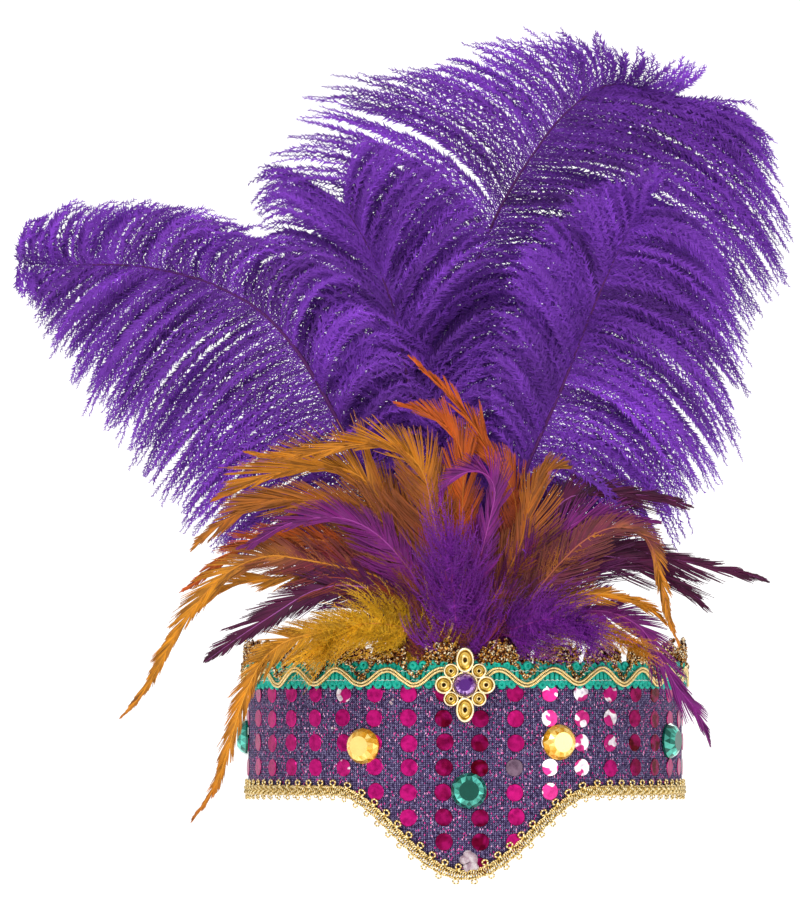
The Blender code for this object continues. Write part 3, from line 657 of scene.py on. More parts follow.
# Down and ostrich barbs: a barb's radius, the hairs' spacing, length and width, how far they
# stand off, how flat they lie in the vane and how far they roll out of it. A hackle's vane
# has flat barbs without hairs.
FLUFF = {
    "hackle": {"Radius": 0.00018, "Spacing": 0.0010, "Length": 0.0019, "Width": 0.00036,
               "Tilt": 0.8, "Flat": 1.0, "Spread": 1.0},
    "tuft": {"Radius": 0.00016, "Spacing": 0.0010, "Length": 0.0030, "Width": 0.00042,
             "Tilt": 0.8, "Flat": 0.0, "Spread": math.pi},
    "plume": {"Radius": 0.00022, "Width": 0.00052, "Tilt": 0.85, "Flat": 1.0, "Spread": 0.9},
}
VANE_BARB = 0.00036

# Ostrich barbs: points in a barb's line, scatter of the tips, and for those low on the plume
# how high that goes and how far they lie back
PLUME_STEPS = 7
TIP_SCATTER = 0.0022
LOW_RISE = 0.09
LOW_BACK = 0.014

FORWARD = np.array((0.0, -1.0, 0.0))
UP = np.array((0.0, 0.0, 1.0))


def crest_sweep(x):
    """How far the crest bends back at its sides, as the crown does."""
    return x * x / (2.0 * CREST_SWEEP)


def quill_place(radius, pitch, place):
    """Where a quill stands in its row along the inner face of the band."""
    angle = pitch * place / radius
    return radius * math.sin(angle), -radius * math.cos(angle)


def smooth_line(points, count):
    """Points at even distances along a smooth curve through a route."""
    points = np.asarray(points, dtype=float)
    ends = np.concatenate([[2.0 * points[0] - points[1]], points,
                           [2.0 * points[-1] - points[-2]]])
    route = []
    for p0, p1, p2, p3 in zip(ends, ends[1:], ends[2:], ends[3:]):
        t1 = np.linalg.norm(p1 - p0) ** 0.5
        t2 = t1 + np.linalg.norm(p2 - p1) ** 0.5
        t3 = t2 + np.linalg.norm(p3 - p2) ** 0.5
        t = np.linspace(t1, t2, 12, endpoint=False)[:, None]
        a1 = p0 + (p1 - p0) * t / t1
        a2 = p1 + (p2 - p1) * (t - t1) / (t2 - t1)
        a3 = p2 + (p3 - p2) * (t - t2) / (t3 - t2)
        b1 = a1 + (a2 - a1) * t / t2
        b2 = a2 + (a3 - a2) * (t - t1) / (t3 - t1)
        route.append(b1 + (b2 - b1) * (t - t1) / (t2 - t1))
    return at_shares(np.concatenate(route + [points[-1:]]), np.linspace(0.0, 1.0, count))


def read_off(line, ways, wanted):
    """Points of a line at wanted ways along it, from the way of each of its points."""
    return np.stack([np.interp(wanted, ways, line[:, axis]) for axis in range(3)], axis=-1)


def at_shares(line, shares):
    """Points of a line at shares of its length."""
    steps = np.linalg.norm(np.diff(line, axis=0), axis=1)
    ways = np.concatenate([[0.0], np.cumsum(steps)])
    return read_off(line, ways, np.asarray(shares) * ways[-1])


def between(line, shares):
    """Points of a line at shares of its count of points."""
    return read_off(line, np.linspace(0.0, 1.0, len(line)), shares)


def heading_at(line, shares, step):
    """The way a line heads at shares of its length."""
    return unit(at_shares(line, np.minimum(shares + step, 1.0)) - at_shares(line, shares - step))


def line_length(line):
    return float(np.linalg.norm(np.diff(line, axis=0), axis=1).sum())


def unit(vectors):
    return vectors / np.maximum(np.linalg.norm(vectors, axis=-1, keepdims=True), 1e-9)


def lock_values(count, spread, rng, size=8):
    """A random value that neighbouring barbs share, so that they lie in locks."""
    values = []
    while len(values) < count:
        values.extend([rng.normal(0.0, spread)] * int(rng.integers(size // 2, size * 2)))
    return np.array(values[:count])


def barb_lines(shaft, side, shares, lengths, angles, rng, steps, turn_in=0.35, loose=0.1,
               forward=0.0):
    """The lines of a row of barbs. Each leaves the shaft at its angle, turns in towards the
    tip by a share of that angle, and strays from the vane by what loose says."""
    count = len(shares)
    roots = at_shares(shaft, shares)
    along = heading_at(shaft, shares, 0.01)
    across = side * unit(np.cross(along, FORWARD))
    angles = angles + lock_values(count, 0.09, rng) + rng.normal(0.0, 0.04, count)
    lengths = lengths * (1.0 + lock_values(count, 0.10, rng) + rng.normal(0.0, 0.05, count))
    stray = lock_values(count, loose, rng) + rng.normal(0.0, 0.5 * loose, count) + forward
    share = (np.arange(steps) + 0.5) / steps
    turn = angles[:, None] * (1.0 - turn_in * share[None, :])
    heading = (along[:, None, :] * np.cos(turn)[..., None]
               + across[:, None, :] * np.sin(turn)[..., None]
               + FORWARD * (stray[:, None] * share[None, :] * 1.5)[..., None])
    moves = unit(heading) * (lengths / steps)[:, None, None]
    return np.concatenate([roots[:, None, :], roots[:, None, :] + np.cumsum(moves, axis=1)],
                          axis=1)


def strand_recipe(sides):
    """A thin tube along each line, as thick as the line's own value says."""
    recipe = Recipe("strands", Radius=0.0002, Sides=sides, Seed=1)
    round_side = recipe.circle(1.0, recipe.size("Sides"))
    return recipe.close(recipe.sweep(recipe.strands(), round_side, recipe.thickness()))


def blade_recipe():
    """A flat barb along each line, lying in the plane of the vane."""
    recipe = Recipe("vane_barbs", Radius=0.0003, Seed=1)
    lean = (recipe.named("tone") - 0.5) * 1.6
    curve = recipe.node("GeometryNodeSetCurveNormal", {"mode": "FREE"},
                        {"Curve": recipe.strands(), "Normal": recipe.vector(lean, -1.0, lean)})
    flat = recipe.node("GeometryNodeCurvePrimitiveLine", None,
                       {"Start": (0.0, -1.0, 0.0), "End": (0.0, 1.0, 0.0)})
    return recipe.close(recipe.sweep(curve, flat, recipe.thickness()))


def fluff_recipe():
    """Strands with fine hairs that stand off all along them. Flat turns the hairs into the
    plane of the vane and Spread lets them roll out of it."""
    recipe = Recipe("fluff", Radius=0.0002, Spacing=0.001, Length=0.002, Width=0.0002,
                    Tilt=0.9, Flat=1.0, Spread=0.8, Seed=1)
    curve = recipe.strands()
    tube = recipe.sweep(curve, recipe.circle(1.0, 3), recipe.thickness())
    length = recipe.size("Length")
    points = recipe.node("GeometryNodeCurveToPoints", {"mode": "LENGTH"},
                         {"Curve": curve, "Length": recipe.size("Spacing")})
    rotation = Value(recipe, points.socket.node.outputs["Rotation"])
    rotation = recipe.node("FunctionNodeAlignRotationToVector",
                           {"axis": "X", "pivot_axis": "Z"},
                           {"Rotation": rotation, "Factor": recipe.size("Flat"),
                            "Vector": (0.0, -1.0, 0.0)})
    blade = recipe.node("GeometryNodeMeshCircle", {"fill_type": "NGON"}, {0: 3, 1: 1.0})
    blade = recipe.node("GeometryNodeTransform", None, {
        "Geometry": blade, "Translation": (0.5 / 1.5, 0.0, 0.0),
        "Scale": recipe.vector(1.0 / 1.5, recipe.size("Width") / length, 1.0)})
    blade = recipe.node("GeometryNodeTransform", None,
                        {"Geometry": blade, "Rotation": (0.0, -0.5 * math.pi, 0.0)})
    side = (recipe.random(0.0, 1.0, 3) > 0.5) * math.pi
    roll = recipe.vector(0.0, 0.0, side + recipe.random(-1.0, 1.0, 5) * recipe.size("Spread"))
    tilt = recipe.vector(recipe.size("Tilt") * recipe.random(0.6, 1.25, 7), 0.0, 0.0)
    rotation = recipe.turned(recipe.turned(rotation, roll), tilt)
    size = length * recipe.named("fuzz") * recipe.random(0.6, 1.15, 13)
    hairs = recipe.instances(points, blade, rotation, size)
    return recipe.close(recipe.joined(tube, hairs), flat=True)


def feather_finish(name, down, vane, tip, shaft, roughness=0.55):
    """Dyed feather: down, vane and tip each have their own colour, and each barb darkens along
    its length, painted shade towards the vane's edge. A barb's tone and the feather's warmth vary
    it, and the light ramp paints shade and highlight on the barbs at random."""
    finish = Finish(name, roughness, specular_ior_level=0.25)
    rise = finish.attribute("rise") + (finish.noise(70.0, 1.0) - 0.5) * 0.30
    body = finish.ramp(rise, (0.0, down), (0.27, down), (0.50, vane), (0.86, vane), (1.0, tip))
    warm = finish.mix(finish.attribute("warm") * 0.75, body, scaled(tip, 0.9))
    tone = finish.attribute("tone")
    fine = finish.noise(260.0)
    # Painted shade and painted highlight, barb by barb at random
    light = finish.ramp(tone * 0.8 + fine * 0.4, (0.15, (0.30, 0.26, 0.32)),
                        (0.55, (0.90, 0.90, 0.90)), (1.0, (1.5, 1.45, 1.4)))
    dyed = finish.mix(1.0, warm, light, "MULTIPLY")
    # Painted shade towards the ends of the barbs
    edge = finish.attribute("along") ** 2.0 * 0.35
    dyed = finish.mix(edge, dyed, scaled(tip, 0.45))
    return finish.dress(finish.mix(finish.attribute("quill"), dyed, shaft), 0.40 + tone * 0.30)


def feather_shaft(place, lean, route, count=48):
    """A hackle's or tuft's shaft from its quill's neck, in the frame's depth."""
    x, y = quill_place(ROW_RADIUS, HACKLE_QUILL + QUILL_GAP, place)
    points = [(x, y, NECK_HEIGHT - 0.6 * NECK_RISE), (x, y, NECK_HEIGHT)]
    points += [(across * HACKLE_REACH, y, LACE_TOP + up * HACKLE_REACH) for across, up in route]
    line = smooth_line(points, count)
    run = np.linspace(0.0, line_length(line), count)
    line[:, 1] += crest_sweep(line[:, 0]) - crest_sweep(x)
    line[:, 1] -= lean * LEAN_REACH * (1.0 - np.exp(-run / LEAN_REACH))
    return line


def quill_line(x, y, line, steps):
    """A shaft with its quill, down behind the band to the quill's foot."""
    foot = np.linspace((x, y, QUILL_FOOT), (x, y, line[0, 2] - 0.002), 5)
    return smooth_line(np.concatenate([foot, line]), steps)


def lines_of(name, lines, rise, warm, rng, quill=0.0, thick=(1.0, 0.35), fuzz=(1.0, 0.6),
             tones=None):
    """A wire mesh of barbs with the values that the recipes and the finishes read."""
    count, steps = lines.shape[:2]
    share = np.linspace(0.0, 1.0, steps)[None, :] + np.zeros((count, 1))
    if tones is None:
        tones = 0.5 + lock_values(count, 0.12, rng) + rng.normal(0.0, 0.12, count)
    rise = np.asarray(rise, dtype=float) + np.zeros(count)
    return wire_mesh(
        name, lines, along=share, tone=np.clip(tones, 0.0, 1.0), rise=rise,
        warm=np.full(count, warm), quill=np.full(count, quill),
        thick=thick[0] + (thick[1] - thick[0]) * share,
        fuzz=np.interp(share, np.linspace(0.0, 1.0, len(fuzz)), fuzz))


def stem_of(name, x, y, shaft, steps, diameter, thin, warm, recipes, finish):
    """The quill and the shaft of a feather, which thins towards its tip."""
    mesh = lines_of(name, quill_line(x, y, shaft, steps)[None], 0.5, warm, None, quill=1.0,
                    thick=(1.0, thin), tones=np.array([0.5]))
    return grown(name, mesh, recipes["stem"], finish, Radius=0.5 * diameter)


def make_hackle(row, recipes, finish, settings, seed):
    """A cock feather: quill and shaft, loose down at the foot and a close vane to the tip."""
    name, dye, place, lean, upper, lower, down, warm, route = row
    rng = np.random.default_rng(seed)
    shaft = feather_shaft(place, lean, route)
    length = line_length(shaft)
    x, y = quill_place(ROW_RADIUS, HACKLE_QUILL + QUILL_GAP, place)
    parts = [stem_of(name, x, y, shaft, 44, HACKLE_QUILL, 0.12, warm, recipes, finish)]
    root = smooth_line(np.concatenate([[(x, y, LACE_TOP - DOWN_START)], shaft]), 48)
    for side, width in ((-1.0, upper), (1.0, lower)):
        shares = np.arange(0.03, 0.992, settings.hackle_spacing / length)
        shares = np.clip(shares + rng.normal(0.0, 0.15 * settings.hackle_spacing / length,
                                             len(shares)), 0.02, 0.995)
        # The vane is loose and stands off at its foot, more so below, and closes to a point
        foot = np.clip((0.72 - shares) / 0.50, 0.0, 1.0) ** 1.3
        narrow = np.clip((1.0 - shares) / 0.45, 0.0, 1.0) * 0.95 + 0.05
        below = float((side > 0.0) == (shaft[-1, 0] > shaft[0, 0]))
        angles = 0.34 - 0.17 * shares + (0.42 + 0.16 * below) * foot
        free = down * (0.80 + 0.40 * below) * foot * np.clip(0.55 + 2.0 * shares, 0.0, 1.0)
        lengths = MM * (width * narrow * (1.0 - 0.6 * foot) / np.sin(angles) + free)
        lines = barb_lines(shaft, side, shares, lengths, angles, rng, steps=3, loose=0.10)
        tones = 0.5 + lock_values(len(shares), 0.14, rng) + rng.normal(0.0, 0.2, len(shares))
        rise = shares ** LATE.get(dye, 1.0)
        mesh = lines_of(name, lines, rise, warm, rng, thick=(1.0, 0.30), tones=tones)
        parts.append(grown(name, mesh, recipes["blade"], finish, Radius=VANE_BARB))
        # Down: long and upright low on the shaft, and shorter where the vane takes over
        count = int(length / MM * 0.52)
        shares = 0.5 * np.sort(rng.uniform(0.0, 1.0, count)) ** 1.5
        reach = np.clip(1.15 - 1.5 * np.abs(shares - 0.12), 0.3, 1.0)
        lengths = MM * down * reach * rng.uniform(0.75, 1.15, count)
        angles = 1.2 - 1.2 * shares + rng.normal(0.0, 0.16, count)
        lines = barb_lines(root, side, shares, lengths, angles, rng, steps=5, turn_in=0.7,
                           loose=0.35)
        mesh = lines_of(name, lines, shares, warm, rng, thick=(1.0, 0.3), fuzz=(1.0, 0.4))
        parts.append(grown(name, mesh, recipes["fluff"], finish, Seed=seed,
                           **FLUFF["hackle"]))
    piece = joined(name + "_barbs", parts)
    hand_over(piece, DYES[dye][0], name)


def make_tuft(row, recipes, finish, seed):
    """Marabou: a short shaft with long soft down all round it."""
    name, dye, place, lean, full, down, warm, route = row
    rng = np.random.default_rng(seed)
    shaft = feather_shaft(place, lean, route)
    x, y = quill_place(ROW_RADIUS, HACKLE_QUILL + QUILL_GAP, place)
    parts = [stem_of(name, x, y, shaft, 32, HACKLE_QUILL, 0.12, warm, recipes, finish)]
    root = smooth_line(np.concatenate([[(x, y, LACE_TOP - DOWN_START)], shaft]), 40)
    for side in (-1.0, 1.0):
        count = int(line_length(root) / MM * full)
        shares = np.sort(rng.uniform(0.0, 1.0, count)) ** 1.35
        lengths = MM * down * rng.uniform(0.55, 1.1, count)
        angles = 1.45 - 1.05 * shares + rng.normal(0.0, 0.25, count)
        lines = barb_lines(root, side, shares, lengths, angles, rng, steps=5, turn_in=0.9,
                           loose=0.7, forward=0.10)
        # What reaches past its free room in front is held back ever more
        over = np.maximum(shaft[:, 1].min() - TUFT_FREE - lines[..., 1], 0.0)
        lines[..., 1] += over - TUFT_FREE * (1.0 - np.exp(-over / TUFT_FREE))
        mesh = lines_of(name, lines, shares * 0.5, warm, rng, thick=(1.0, 0.3), fuzz=(1.0, 0.3))
        parts.append(grown(name, mesh, recipes["fluff"], finish, Seed=seed, **FLUFF["tuft"]))
    piece = joined(name + "_barbs", parts)
    hand_over(piece, DYES[dye][0], name)


def plume_depth(y, lean, x, height, x0):
    """Depth of a plume's sheet: it leans back and curls forward towards the top."""
    rise = height - NECK_HEIGHT
    return y + lean * rise - rise * rise / (2.0 * PLUME_CURL) + crest_sweep(x) - crest_sweep(x0)


def tip_line(row_shares, tips, count=90):
    """The line of tips, even along the shaft and evened out, from the tips given for its
    rows."""
    line = read_off(tips, row_shares, np.linspace(0.0, 1.0, count))
    parts = [np.convolve(np.pad(part, 3, "edge"), np.ones(7) / 7.0, "valid") for part in line.T]
    return np.stack(parts, axis=-1)


def plume_barb_lines(shaft, tips, count, rng, bow, curl, ragged):
    """Barbs from the shaft to the line of tips on one side. They lie close and gather into
    locks near their tips. Each starts along the shaft as far as bow says, comes down to its
    tip as far as curl says, and falls short of it by what ragged says."""
    pace = np.zeros(len(shaft))
    for line in (shaft, tips):
        steps_along = np.linalg.norm(np.diff(line, axis=0), axis=1)
        pace[1:] += np.cumsum(steps_along) / steps_along.sum()
    shares = np.interp((np.arange(count) + 0.5) / count, 0.5 * pace,
                       np.linspace(0.0, 1.0, len(shaft)))
    lock = np.zeros(count)
    start = 0
    while start < count:
        size = int(rng.integers(4, 12))
        lock[start:start + size] = shares[start:start + size].mean()
        start += size
    # Near its tip a barb is drawn to the middle of its lock
    pulled = np.clip(shares * 0.30 + lock * 0.70 + rng.normal(0.0, 0.003, count), 0.0, 1.0)
    roots = at_shares(shaft, shares)
    ends = between(tips, shares) + rng.normal(0.0, TIP_SCATTER, (count, 3))
    pull = (between(tips, pulled) - between(tips, shares))[:, None]
    reach = ends - roots
    span = np.linalg.norm(reach, axis=1, keepdims=True)
    shorter = 1.03 + np.clip(lock_values(count, 0.06, rng), -0.2, 0.03)[:, None]
    shorter = shorter - np.minimum(np.abs(rng.normal(0.0, ragged, (count, 1))), 0.7)
    along = heading_at(shaft, shares, 0.02)
    bows = bow * (1.0 + lock_values(count, 0.08, rng))[:, None]
    first = (roots + 0.30 * reach + along * span * bows)[:, None]
    second = (roots + 0.75 * reach + along * span * bows * 0.45 + UP * span * curl)[:, None]
    share = np.linspace(0.0, 1.0, PLUME_STEPS)[None, :, None] * shorter[:, :, None]
    rest = 1.0 - share
    lines = (rest ** 3 * roots[:, None] + 3.0 * rest ** 2 * share * first
             + 3.0 * rest * share ** 2 * second + share ** 3 * ends[:, None]
             + share ** 4 * pull)
    wave = np.sin(share * rng.uniform(3.0, 7.0, (count, 1, 1)) + rng.uniform(0, 6, (count, 1, 1)))
    flat = unit(np.cross(reach, FORWARD))[:, None]
    lines = lines + flat * wave * share * span[:, None] * 0.028
    swell = (lock_values(count, 0.011, rng, 9) + rng.normal(0.0, 0.005, count))[:, None]
    # Low barbs lie back behind the hackles
    low = np.clip(1.0 - (lines[:, :, 2] - NECK_HEIGHT) / LOW_RISE, 0.0, 1.0)
    lines[:, :, 1] += swell * np.sin(share[..., 0] * 2.2) * (1.0 - low)
    lines[:, :, 1] += LOW_BACK * low * share[..., 0]
    return shares, lines


def make_plume(row, recipes, finish, settings, seed):
    """An ostrich plume: a stout quill and shaft with long soft barbs in locks on both sides."""
    name, place, lean, full, bows, curls, ragged, rows = row
    rng = np.random.default_rng(seed)
    x, y = quill_place(PLUME_ROW_RADIUS, PLUME_QUILL + QUILL_GAP, place)
    rows = np.asarray(rows)
    routes = [np.stack([rows[:, column] * PLUME_REACH, np.full(len(rows), y),
                        LACE_TOP + rows[:, column + 1] * PLUME_REACH], axis=1)
              for column in (0, 2, 4)]
    shaft = smooth_line(routes[0], 90)
    ways = np.cumsum(np.linalg.norm(np.diff(routes[0], axis=0), axis=1))
    row_shares = np.concatenate([[0.0], ways / ways[-1]])
    upper, lower = [tip_line(row_shares, route) for route in routes[1:]]
    stem_route = np.concatenate([[(x, y, NECK_HEIGHT)], shaft[::8]])
    stem = smooth_line(stem_route, 60)
    lines_by_side = []
    for tips, share, bow, curl, rag in zip((upper, lower), full, bows, curls, ragged):
        count = int(settings.plume_barbs * share)
        lines_by_side.append(plume_barb_lines(shaft, tips, count, rng, bow, curl, rag))
    for lines in [stem] + [lines for shares, lines in lines_by_side]:
        lines[..., 1] += plume_depth(y, lean, lines[..., 0], lines[..., 2], x) - y
    parts = [stem_of(name, x, y, stem, 64, PLUME_QUILL, 0.16, 0.0, recipes, finish)]
    for shares, lines in lines_by_side:
        mesh = lines_of(name, lines, shares, 0.0, rng, thick=(1.0, 0.4),
                        fuzz=(0.75, 0.95, 1.0, 1.0, 0.85, 0.45))
        parts.append(grown(name, mesh, recipes["fluff"], finish, Seed=seed,
                           Spacing=settings.barbule_spacing, Length=settings.barbule_length,
                           **FLUFF["plume"]))
    piece = joined(name + "_barbs", parts)
    hand_over(piece, "ostrich_purple", name)


def ostrich_finish(colour):
    """Dyed ostrich: soft and matt, with barbs and patches darker and lighter at random, painted
    shade and painted highlight for the plume's depth and top, and a darker shaft.
    """
    finish = Finish("ostrich_purple", 0.7, specular_ior_level=0.2)
    tone = finish.attribute("tone")
    along = finish.attribute("along")
    patch = finish.noise(28.0, 3.0)
    # Painted shade and painted highlight, set at random by each barb's tone and by patches of
    # noise
    depth = tone * 0.45 + patch * 0.55
    dyed = finish.ramp(depth, (0.25, scaled(colour, 0.42)), (0.5, colour),
                       (0.78, scaled(colour, 1.8)))
    dyed = finish.mix(along * 0.25, dyed, scaled(colour, 1.8))
    return finish.dress(finish.mix(finish.attribute("quill"), dyed, (0.07, 0.01, 0.09)))


class HEADDRESS_OT_plumes(bpy.types.Operator):
    """Grows the four ostrich plumes, barb by barb"""
    bl_idname = "headdress.plumes"
    bl_label = "Ostrich plumes"

    def execute(self, context):
        settings = context.scene.headdress_crest
        recipes = {"stem": strand_recipe(6), "fluff": fluff_recipe()}
        finish = ostrich_finish(tuple(settings.plume_colour))
        for number, row in enumerate(PLUMES):
            make_plume(row, recipes, finish, settings, 100 + number)
        return {"FINISHED"}


class HEADDRESS_OT_hackles(bpy.types.Operator):
    """Grows the cock feathers with their down and vanes"""
    bl_idname = "headdress.hackles"
    bl_label = "Hackles"

    def execute(self, context):
        settings = context.scene.headdress_crest
        recipes = {"stem": strand_recipe(6), "blade": blade_recipe(), "fluff": fluff_recipe()}
        finishes = {dye: feather_finish("hackle_" + dye, *DYES[dye][1:]) for dye in DYES}
        for number, row in enumerate(HACKLES):
            make_hackle(row, recipes, finishes[row[1]], settings, 200 + number)
        return {"FINISHED"}


class HEADDRESS_OT_tufts(bpy.types.Operator):
    """Grows the marabou tufts at the foot of the crest"""
    bl_idname = "headdress.tufts"
    bl_label = "Marabou tufts"

    def execute(self, context):
        recipes = {"stem": strand_recipe(6), "fluff": fluff_recipe()}
        for number, row in enumerate(TUFTS):
            finish = feather_finish("marabou_" + row[1], *DYES[row[1]][1:], roughness=0.7)
            make_tuft(row, recipes, finish, 300 + number)
        return {"FINISHED"}


# Round stones: name, finish and degrees round from the front
GEMS = (
    ("gem_emerald_left", "emerald", -88.0),
    ("gem_amber_left", "amber", -27.4),
    ("gem_emerald_centre", "emerald", 1.0),
    ("gem_amber_right", "amber", 25.1),
    ("gem_emerald_right", "emerald", 68.4),
)

# Cups round the brooch's stone: degrees from the top, length and width of each
CUPS = ((0, 0.0101, 0.0071), (45, 0.0059, 0.0059), (90, 0.0071, 0.0071), (135, 0.0059, 0.0059),
        (180, 0.0101, 0.0071), (225, 0.0059, 0.0059), (270, 0.0071, 0.0071),
        (315, 0.0059, 0.0059))

# Lathed shapes of the brooch, as shares of radius and of height, with the tone of the gilt, which
# is painted light: pale painted highlights on the rims, dark painted shade on the inner slopes
# and black painted shade in the pits
CUP_PROFILE = ((0.001, 0.20, 0.0), (0.14, 0.20, 0.0), (0.20, 0.36, 0.3), (0.29, 0.44, 0.85),
               (0.38, 0.34, 0.5), (0.60, 0.30, 0.42), (0.69, 0.42, 0.22), (0.77, 0.86, 0.65),
               (0.86, 1.00, 1.0), (0.95, 0.90, 0.95), (1.0, 0.62, 0.6), (1.0, 0.12, 0.3),
               (0.90, 0.0, 0.3), (0.001, 0.0, 0.3))
SEAT_PROFILE = ((0.30, 0.0, 0.3), (0.96, 0.0, 0.3), (1.0, 0.3, 0.5), (0.96, 0.62, 0.8),
                (0.80, 0.60, 0.6), (0.78, 0.36, 0.3), (0.30, 0.36, 0.3))
# The stones' heights, and the painted light of each kind's table, from painted shade on emerald's
# to painted glare on amber's
GEM_HEIGHT = 0.0046
BROOCH_STONE_HEIGHT = 0.0042
TABLE_PAINTED_LIGHT = {"emerald": 0.26, "amber": 0.97, "amethyst": 0.35}

# Brooch: beads round its stone and a bead's radius
BEZEL_BEADS = 30
BEZEL_BEAD = 0.00042

# Sequins: columns round the band, the number and way round of the one in front, rows, height
# of the top row, the foil's thickness, and the column and row of the dot that lost its dye
SEQUIN_COLUMNS = 38
FRONT_COLUMN = 7
FRONT_WAY = math.radians(-5.5)
SEQUIN_ROWS = 8
SEQUIN_TOP = 0.0405
FOIL = 0.00022
WORN_DOT = (9, 3)

# Cloth: width and height of a stitch
KNIT_WIDTH = 0.00096
KNIT_HEIGHT = 0.00080

# Gimp: levels of its rows of loops and of its white stitches, depth of a rib, a loop's radius
# and wire, and the radius of the stitches' thread
LOOP_LEVELS = (GIMP_LOW.z + 0.0019, GIMP_HIGH.z - 0.0017)
STITCH_LEVELS = (GIMP_LOW.z + 0.0036, GIMP_HIGH.z - 0.0040)
RIB_DEPTH = 0.0013
LOOP_RADIUS = 0.0012
LOOP_WIRE = 0.00092
STITCH_THREAD = 0.00019

# Wave cord: a strand's radius, how far each strand lies from the middle of the two, and the
# run of thread from one of its points to the next
CORD_STRAND = 0.00056
CORD_SIDE = 0.00062
CORD_RUN = 0.00125

# Lace: knots in a fan and in each of the two arms beside it, steps of the net behind it, how
# far the net starts under the knots, how far an arm drops, and a knot's radius and wire
FAN_KNOTS = 96
ARM_KNOTS = 11
NET_STEPS = 10
NET_FOOT = 0.0015
ARM_DROP = 0.0066
KNOT_RADIUS = 0.00074
KNOT_WIRE = 0.00040

# Hem braid: radius of a plaited strand and how far it weaves in and out, then for each edge
# its place in shares of the half width and its wire, and for each row of picots its side, the
# swing and the height of a loop, and its wire
PLAIT_STRAND = 0.00034
PLAIT_WEAVE = 0.00060
BRAID_EDGES = ((-0.90, 0.00028), (0.86, 0.00044))
PICOTS = ((1.0, 0.0028, 0.0015, 0.00048), (-1.0, 0.0025, 0.0013, 0.00034))

# Glue: a lump's radius, then way round, height, spread, size and count of each group
GLUE_LUMP = 0.0012
GLUE = ((0.0018, -0.0285, 0.0034, 1.5, 14), (0.0005, -0.0330, 0.0016, 1.1, 4),
        (-0.0310, 0.0372, 0.0016, 0.5, 3), (-0.0590, 0.0262, 0.0010, 0.45, 2))

# Painted light on the columns of dots in front, from the left: the share of painted shade (dark
# foil) and of painted highlight (pale foil)
COLUMN_PAINTED_LIGHT = ((0.25, 0.0), (0.15, 0.0), (0.05, 0.0), (0.0, 0.0), (0.0, 0.05), (0.0, 0.0),
                 (0.0, 0.0), (0.75, 0.0), (0.85, 0.0), (0.35, 0.0), (0.0, 0.5), (0.0, 0.6),
                 (0.0, 0.25), (0.85, 0.0), (1.0, 0.0))


def hem_height(angle):
    """Height of the band's lower edge: straight, with a rounded point at the front."""
    share = np.minimum(np.abs(angle) / POINT_SPREAD, 1.0)
    return -POINT_DROP * np.cos(0.5 * np.pi * share) ** 2


def wrapped(arc, height, proud):
    """A point on the band's outer face, from its way round, its height and how far it stands
    proud of the cloth."""
    arc, height, proud = np.broadcast_arrays(arc, height, proud)
    angle = arc / BAND_RADIUS
    radius = BAND_RADIUS + proud
    return np.stack([radius * np.sin(angle), -radius * np.cos(angle), height], axis=-1)


def ring_arcs(count):
    """Even ways round the band, from the middle of the back."""
    return (np.arange(count) / count - 0.5) * math.tau * BAND_RADIUS


def facing(arcs, roll=0.0):
    """Turns that point outwards from the band."""
    arcs = np.asarray(arcs)
    turns = np.zeros((len(arcs), 3))
    turns[:, 0] = 0.5 * math.pi
    turns[:, 2] = arcs / BAND_RADIUS
    turns[:, 1] = roll
    return turns


def band_recipe():
    """The band's outer face, rolled up from a flat sheet whose lower edge dips at the front."""
    recipe = Recipe("band", Radius=0.09, Top=0.05, Drop=0.03, Spread=0.6, Columns=360)
    sheet = recipe.node("GeometryNodeMeshGrid", None, {
        "Size X": 1.0, "Size Y": 1.0, "Vertices X": recipe.size("Columns"), "Vertices Y": 12})
    spot = recipe.node("GeometryNodeInputPosition")
    across = recipe.node("ShaderNodeSeparateXYZ", None, {0: spot}, out=0)
    up = recipe.node("ShaderNodeSeparateXYZ", None, {0: spot}, out=1) + 0.5
    angle = across * math.tau
    share = recipe.math("MINIMUM", recipe.math("ABSOLUTE", angle) / recipe.size("Spread"), 1.0)
    hem = recipe.size("Drop") * -1.0 * recipe.math("COSINE", share * (0.5 * math.pi)) ** 2.0
    height = hem + (recipe.size("Top") - hem) * up
    radius = recipe.size("Radius")
    rolled = recipe.vector(radius * recipe.sine(angle), radius * -1.0
                           * recipe.math("COSINE", angle), height)
    sheet = recipe.keep(sheet, "round", angle * radius)
    sheet = recipe.node("GeometryNodeSetPosition", None, {0: sheet, 2: rolled})
    sheet = recipe.node("GeometryNodeMergeByDistance", None, {0: sheet, 2: 0.00001})
    return recipe.close(sheet)


def disc_recipe():
    """A thin round foil, a little smaller at its face, on each point."""
    recipe = Recipe("foil_discs", Diameter=0.007, Thickness=0.0002, Sides=20)
    half = recipe.size("Diameter") * 0.5
    disc = recipe.node("GeometryNodeMeshCone", None, {
        "Vertices": recipe.size("Sides"), "Radius Top": half * 0.94, "Radius Bottom": half,
        "Depth": recipe.size("Thickness")})
    return recipe.on_points(disc, (1.0, 1.0, 1.0), flat=True)


def ring_recipe(steps, sides):
    """A small ring of wire on each point."""
    recipe = Recipe("wire_rings", Radius=0.0015, Wire=0.0005, Steps=steps, Sides=sides)
    ring = recipe.sweep(recipe.circle(recipe.size("Radius"), recipe.size("Steps")),
                        recipe.circle(recipe.size("Wire"), recipe.size("Sides")))
    return recipe.on_points(ring, recipe.named("size"))


